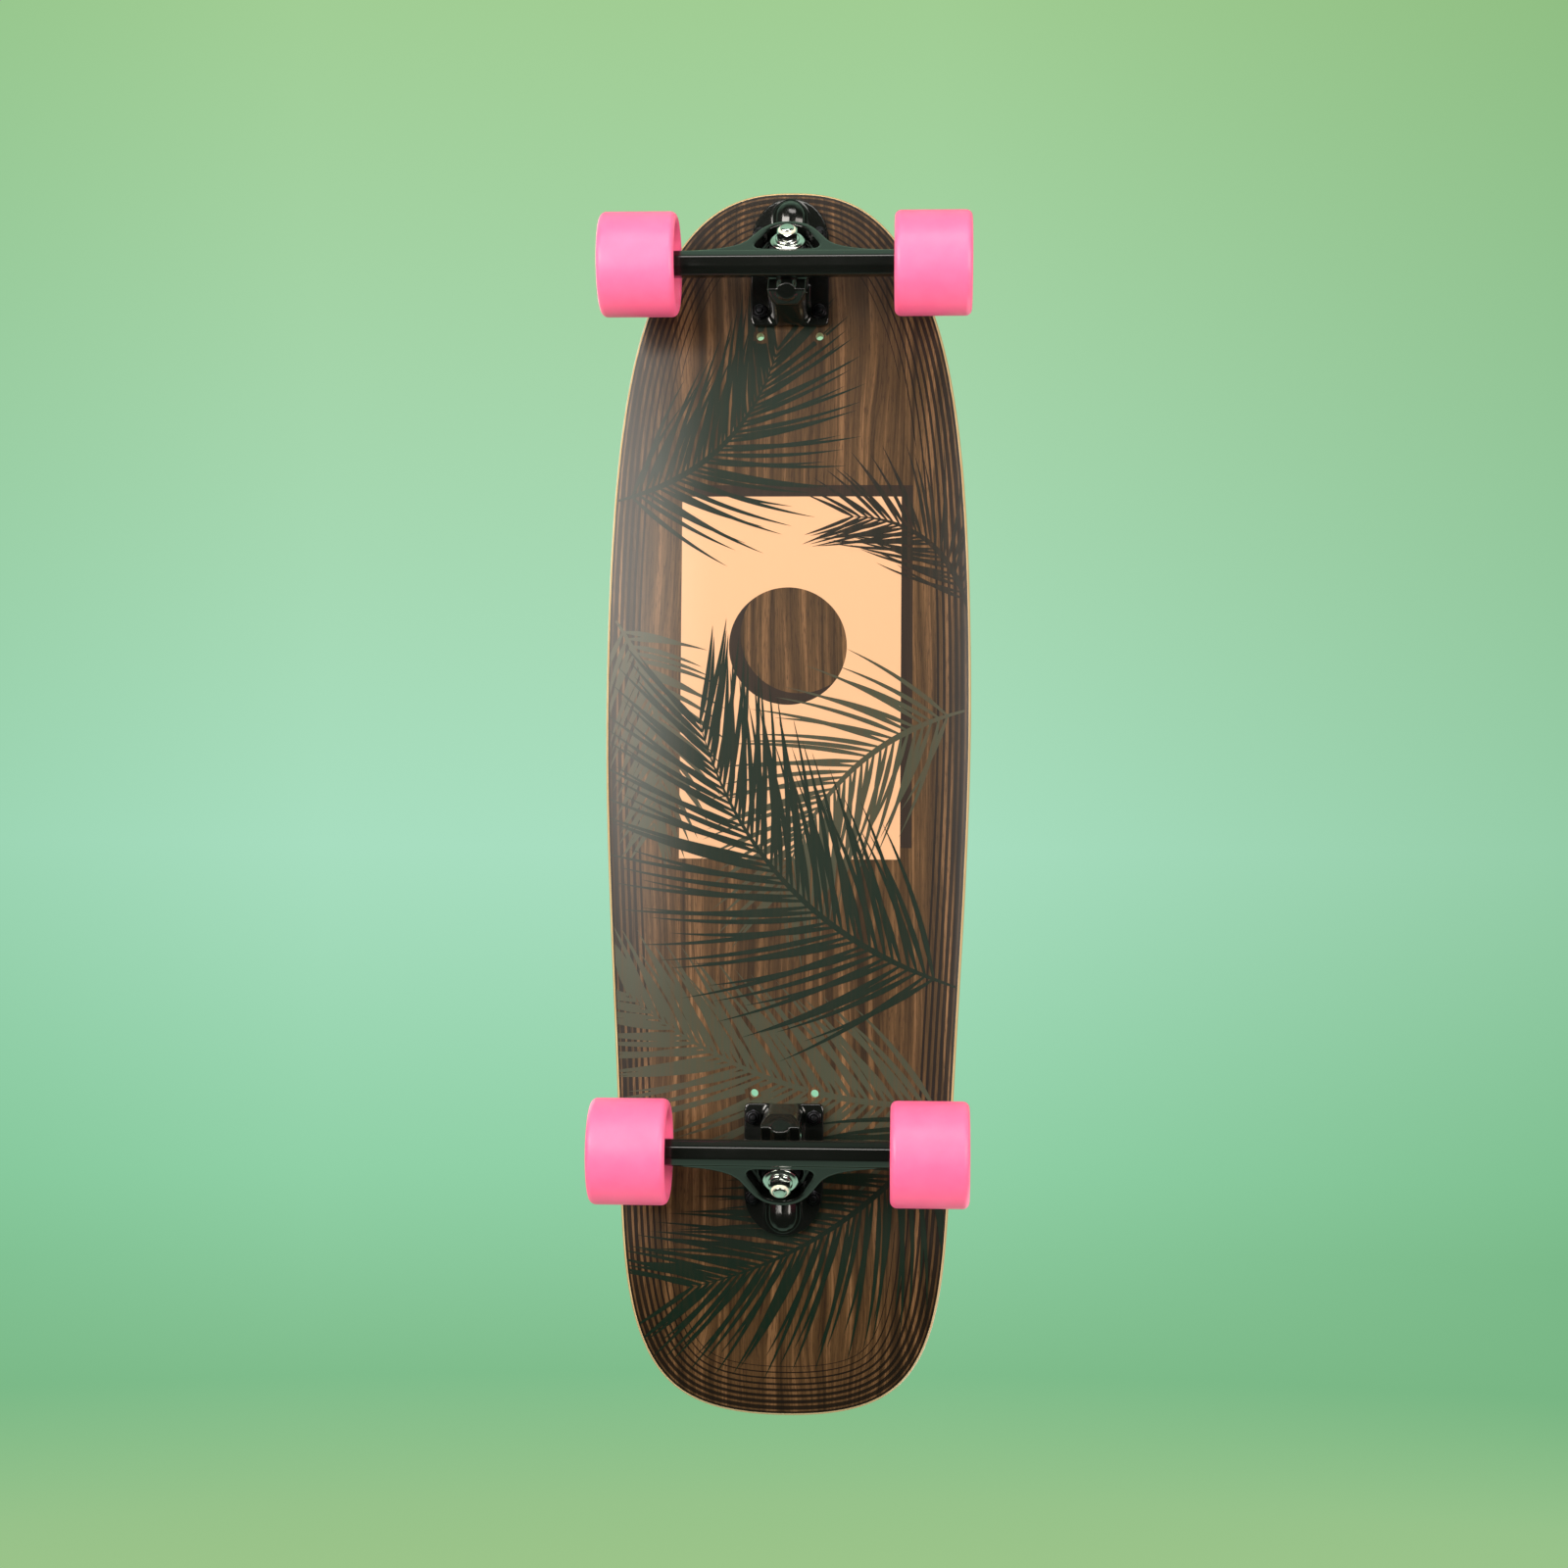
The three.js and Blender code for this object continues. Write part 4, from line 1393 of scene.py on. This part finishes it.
# ---------------------------------------------------------------- studio
@dataclass
class Studio:
    """A pale floor, a green sweep overhead, soft boxes below and above, and the camera.

    Places are in metres and angles in degrees.
    """

    aim: tuple[float, float, float] = (0.0106, -0.0019, 0.095)
    distance: float = 1.7646
    across_degrees: float = 3.386
    along_degrees: float = 2.986
    roll_degrees: float = 0.43
    lens: float = 58.9
    sensor: float = 36.0
    clip: tuple[float, float] = (0.05, 200.0)
    lamp_aim: tuple[float, float, float] = (0.0, 0.0, 0.07)
    floor_half: float = 30.0

    def camera(self) -> None:
        """Makes the camera, which looks up at the underside with the nose at the top."""
        a, b = math.radians(self.across_degrees), math.radians(self.along_degrees)
        back = Vector((-math.sin(a), math.sin(b) * math.cos(a), -math.cos(a) * math.cos(b)))
        right = Vector((1, 0, 0)).cross(back).normalized()
        right = Matrix.Rotation(math.radians(self.roll_degrees), 3, back) @ right
        up = back.cross(right)
        data = bpy.data.cameras.new("camera")
        data.lens, data.sensor_width = self.lens, self.sensor
        data.clip_start, data.clip_end = self.clip
        made = bpy.data.objects.new("camera", data)
        turn = Matrix((right, up, back)).transposed().to_4x4()
        made.matrix_world = Matrix.Translation(Vector(self.aim) + back * self.distance) @ turn
        bpy.context.scene.collection.objects.link(made)
        bpy.context.scene.camera = made

    def floor(self) -> None:
        """Makes the floor, which is open from below so that the underside can be seen."""
        mesh = bmesh.new()
        bmesh.ops.create_grid(mesh, x_segments=1, y_segments=1, size=self.floor_half)
        made = loose(mesh, "floor")
        material = bpy.data.materials.new("pale_painted_floor")
        material.use_nodes = True
        tree = material.node_tree
        tree.nodes.clear()
        mottle = add_node(
            tree, "TexNoise", {"Vector": millimetres(tree, (900,) * 3), "Scale": 1.0, "Detail": 3.0}
        )
        paint = add_node(
            tree, "ValToRGB", {"Fac": mottle}, stops=((0.3, "#efe2ef"), (0.7, "#f5e8f5"))
        )
        top = add_node(tree, "BsdfDiffuse", {"Color": paint, "Roughness": 0.3})
        under = add_node(tree, "BsdfTransparent")
        side = add_node(tree, "NewGeometry", out="Backfacing")
        both = add_node(tree, "MixShader", {0: side, 1: top, 2: under})
        add_node(tree, "OutputMaterial", {"Surface": both})
        made.data.materials.append(material)
        made.visible_diffuse = made.visible_glossy = made.visible_shadow = False
        made.visible_transmission = made.visible_volume_scatter = False

    def sweep(self) -> None:
        """Lights the room with the green sweep above and a dim room below."""
        world = bpy.data.worlds.new("green_sweep")
        bpy.context.scene.world = world
        world.use_nodes = True
        tree = world.node_tree
        tree.nodes.clear()
        way = add_node(tree, "TexCoord", out="Generated")
        split = add_node(tree, "SeparateXYZ", {0: way}, out="X")
        crosswise, height = (split.node.outputs[axis] for axis in "YZ")
        share = add_node(tree, "MapRange", {"Value": split, 1: -0.236, 2: 0.35})
        sweep = add_node(
            tree,
            "ValToRGB",
            {"Fac": share},
            stops=((0.0, "#9cc489"), (1.0, "#a1cd93"), (0.04, "#97c28a"), (0.12, "#7fbc8b"),
                   (0.25, "#90d0a6"), (0.46, "#a8dec0"), (0.75, "#a5d5ab")),
        )  # fmt: skip
        side = add_node(tree, "MapRange", {"Value": crosswise, 1: -0.345, 2: 0.24})
        tailward = add_node(tree, "MapRange", {"Value": split, 1: -0.12, 2: -0.21})
        fall = add_node(
            tree,
            "ValToRGB",
            {"Fac": side},
            stops=((0.0, "#eff6f0"), (1.0, "#e4ece0"), (0.2, "#ffffff"), (0.6, "#ffffff")),
        )
        full = add_node(tree, "Math", {0: 1.0, 1: tailward}, operation="SUBTRACT")
        shaded = add_node(
            tree, "Mix", {0: full, 6: sweep, 7: fall}, **COLOURS, blend_type="MULTIPLY"
        )
        overhead = add_node(tree, "MapRange", {"Value": height, 1: 0.55, 2: 0.85})
        lift = add_node(tree, "MapRange", {"Value": height, 1: 0.0, 2: 0.22})
        wall = add_node(
            tree, "Mix", {0: lift, 6: linear("#a6c9b0"), 7: linear("#b4dfc2")}, **COLOURS,
        )  # fmt: skip
        room = add_node(tree, "Mix", {0: overhead, 6: wall, 7: shaded}, **COLOURS)
        low = add_node(tree, "MapRange", {"Value": height, 1: 0.0, 2: -0.22})
        colour = add_node(tree, "Mix", {0: low, 6: room, 7: linear("#2f352f")}, **COLOURS)
        light = add_node(tree, "Background", {"Color": colour, "Strength": 1.0})
        add_node(tree, "OutputWorld", {"Surface": light})

    def lamp(
        self,
        name: str,
        spot: Sequence[float],
        size: tuple[float, float],
        watts: float,
        colour: str,
        glints: bool,
    ) -> None:
        """Adds a soft box that faces the board.

        Args:
            name: Its name.
            spot: Where it stands.
            size: Its width and height.
            watts: Its power.
            colour: Its hex colour.
            glints: Whether shiny faces mirror it.
        """
        data = bpy.data.lights.new(name, "AREA")
        data.shape, data.size, data.size_y = "RECTANGLE", *size
        data.energy, data.color = watts, linear(colour)[:3]
        made = bpy.data.objects.new(name, data)
        aim = Vector(self.lamp_aim) - Vector(spot)
        made.rotation_mode = "QUATERNION"
        made.rotation_quaternion = aim.to_track_quat("-Z", "Y")
        made.location = spot
        made.visible_glossy = glints
        bpy.context.scene.collection.objects.link(made)

    def build(self) -> None:
        """Builds the studio."""
        bpy.context.scene.view_settings.view_transform = "Standard"
        self.camera()
        self.floor()
        self.sweep()
        white, warm, cool = "#ffffff", "#fffaf4", "#f4f8ff"
        for lamp in (
            ("left_box_below", (0.5, -1.15, -1.5), (0.8, 1.5), 62, "#fff9f0", True),
            ("right_box_below", (0.25, 1.5, -1.3), (0.8, 1.7), 44, "#fff6ec", True),
            ("nose_box_below", (1.6, 0.1, -1.4), (1.3, 0.8), 26, warm, True),
            ("tail_box_below", (-2.1, 0.0, -0.75), (1.6, 0.8), 24, warm, False),
            ("key_box_above", (0.9, -1.5, 1.9), (1.4, 1.4), 19, white, True),
            ("fill_box_above", (-1.4, 1.4, 1.6), (1.4, 1.4), 12, cool, True),
        ):
            self.lamp(*lamp)


def main() -> None:
    """Builds the studio and the board, piece by piece."""
    logging.basicConfig(level=logging.INFO, format="%(name)s: %(message)s")
    Studio().build()
    deck = Deck()
    deck.build()
    Print(deck).build()
    for end, x, outboard in (("front", 365.0, 1), ("rear", -244.0, -1)):
        Truck(end, x, outboard).build()
        for side in ("left", "right"):
            Wheel(end, side).build()


if __name__ == "__main__":
    main()
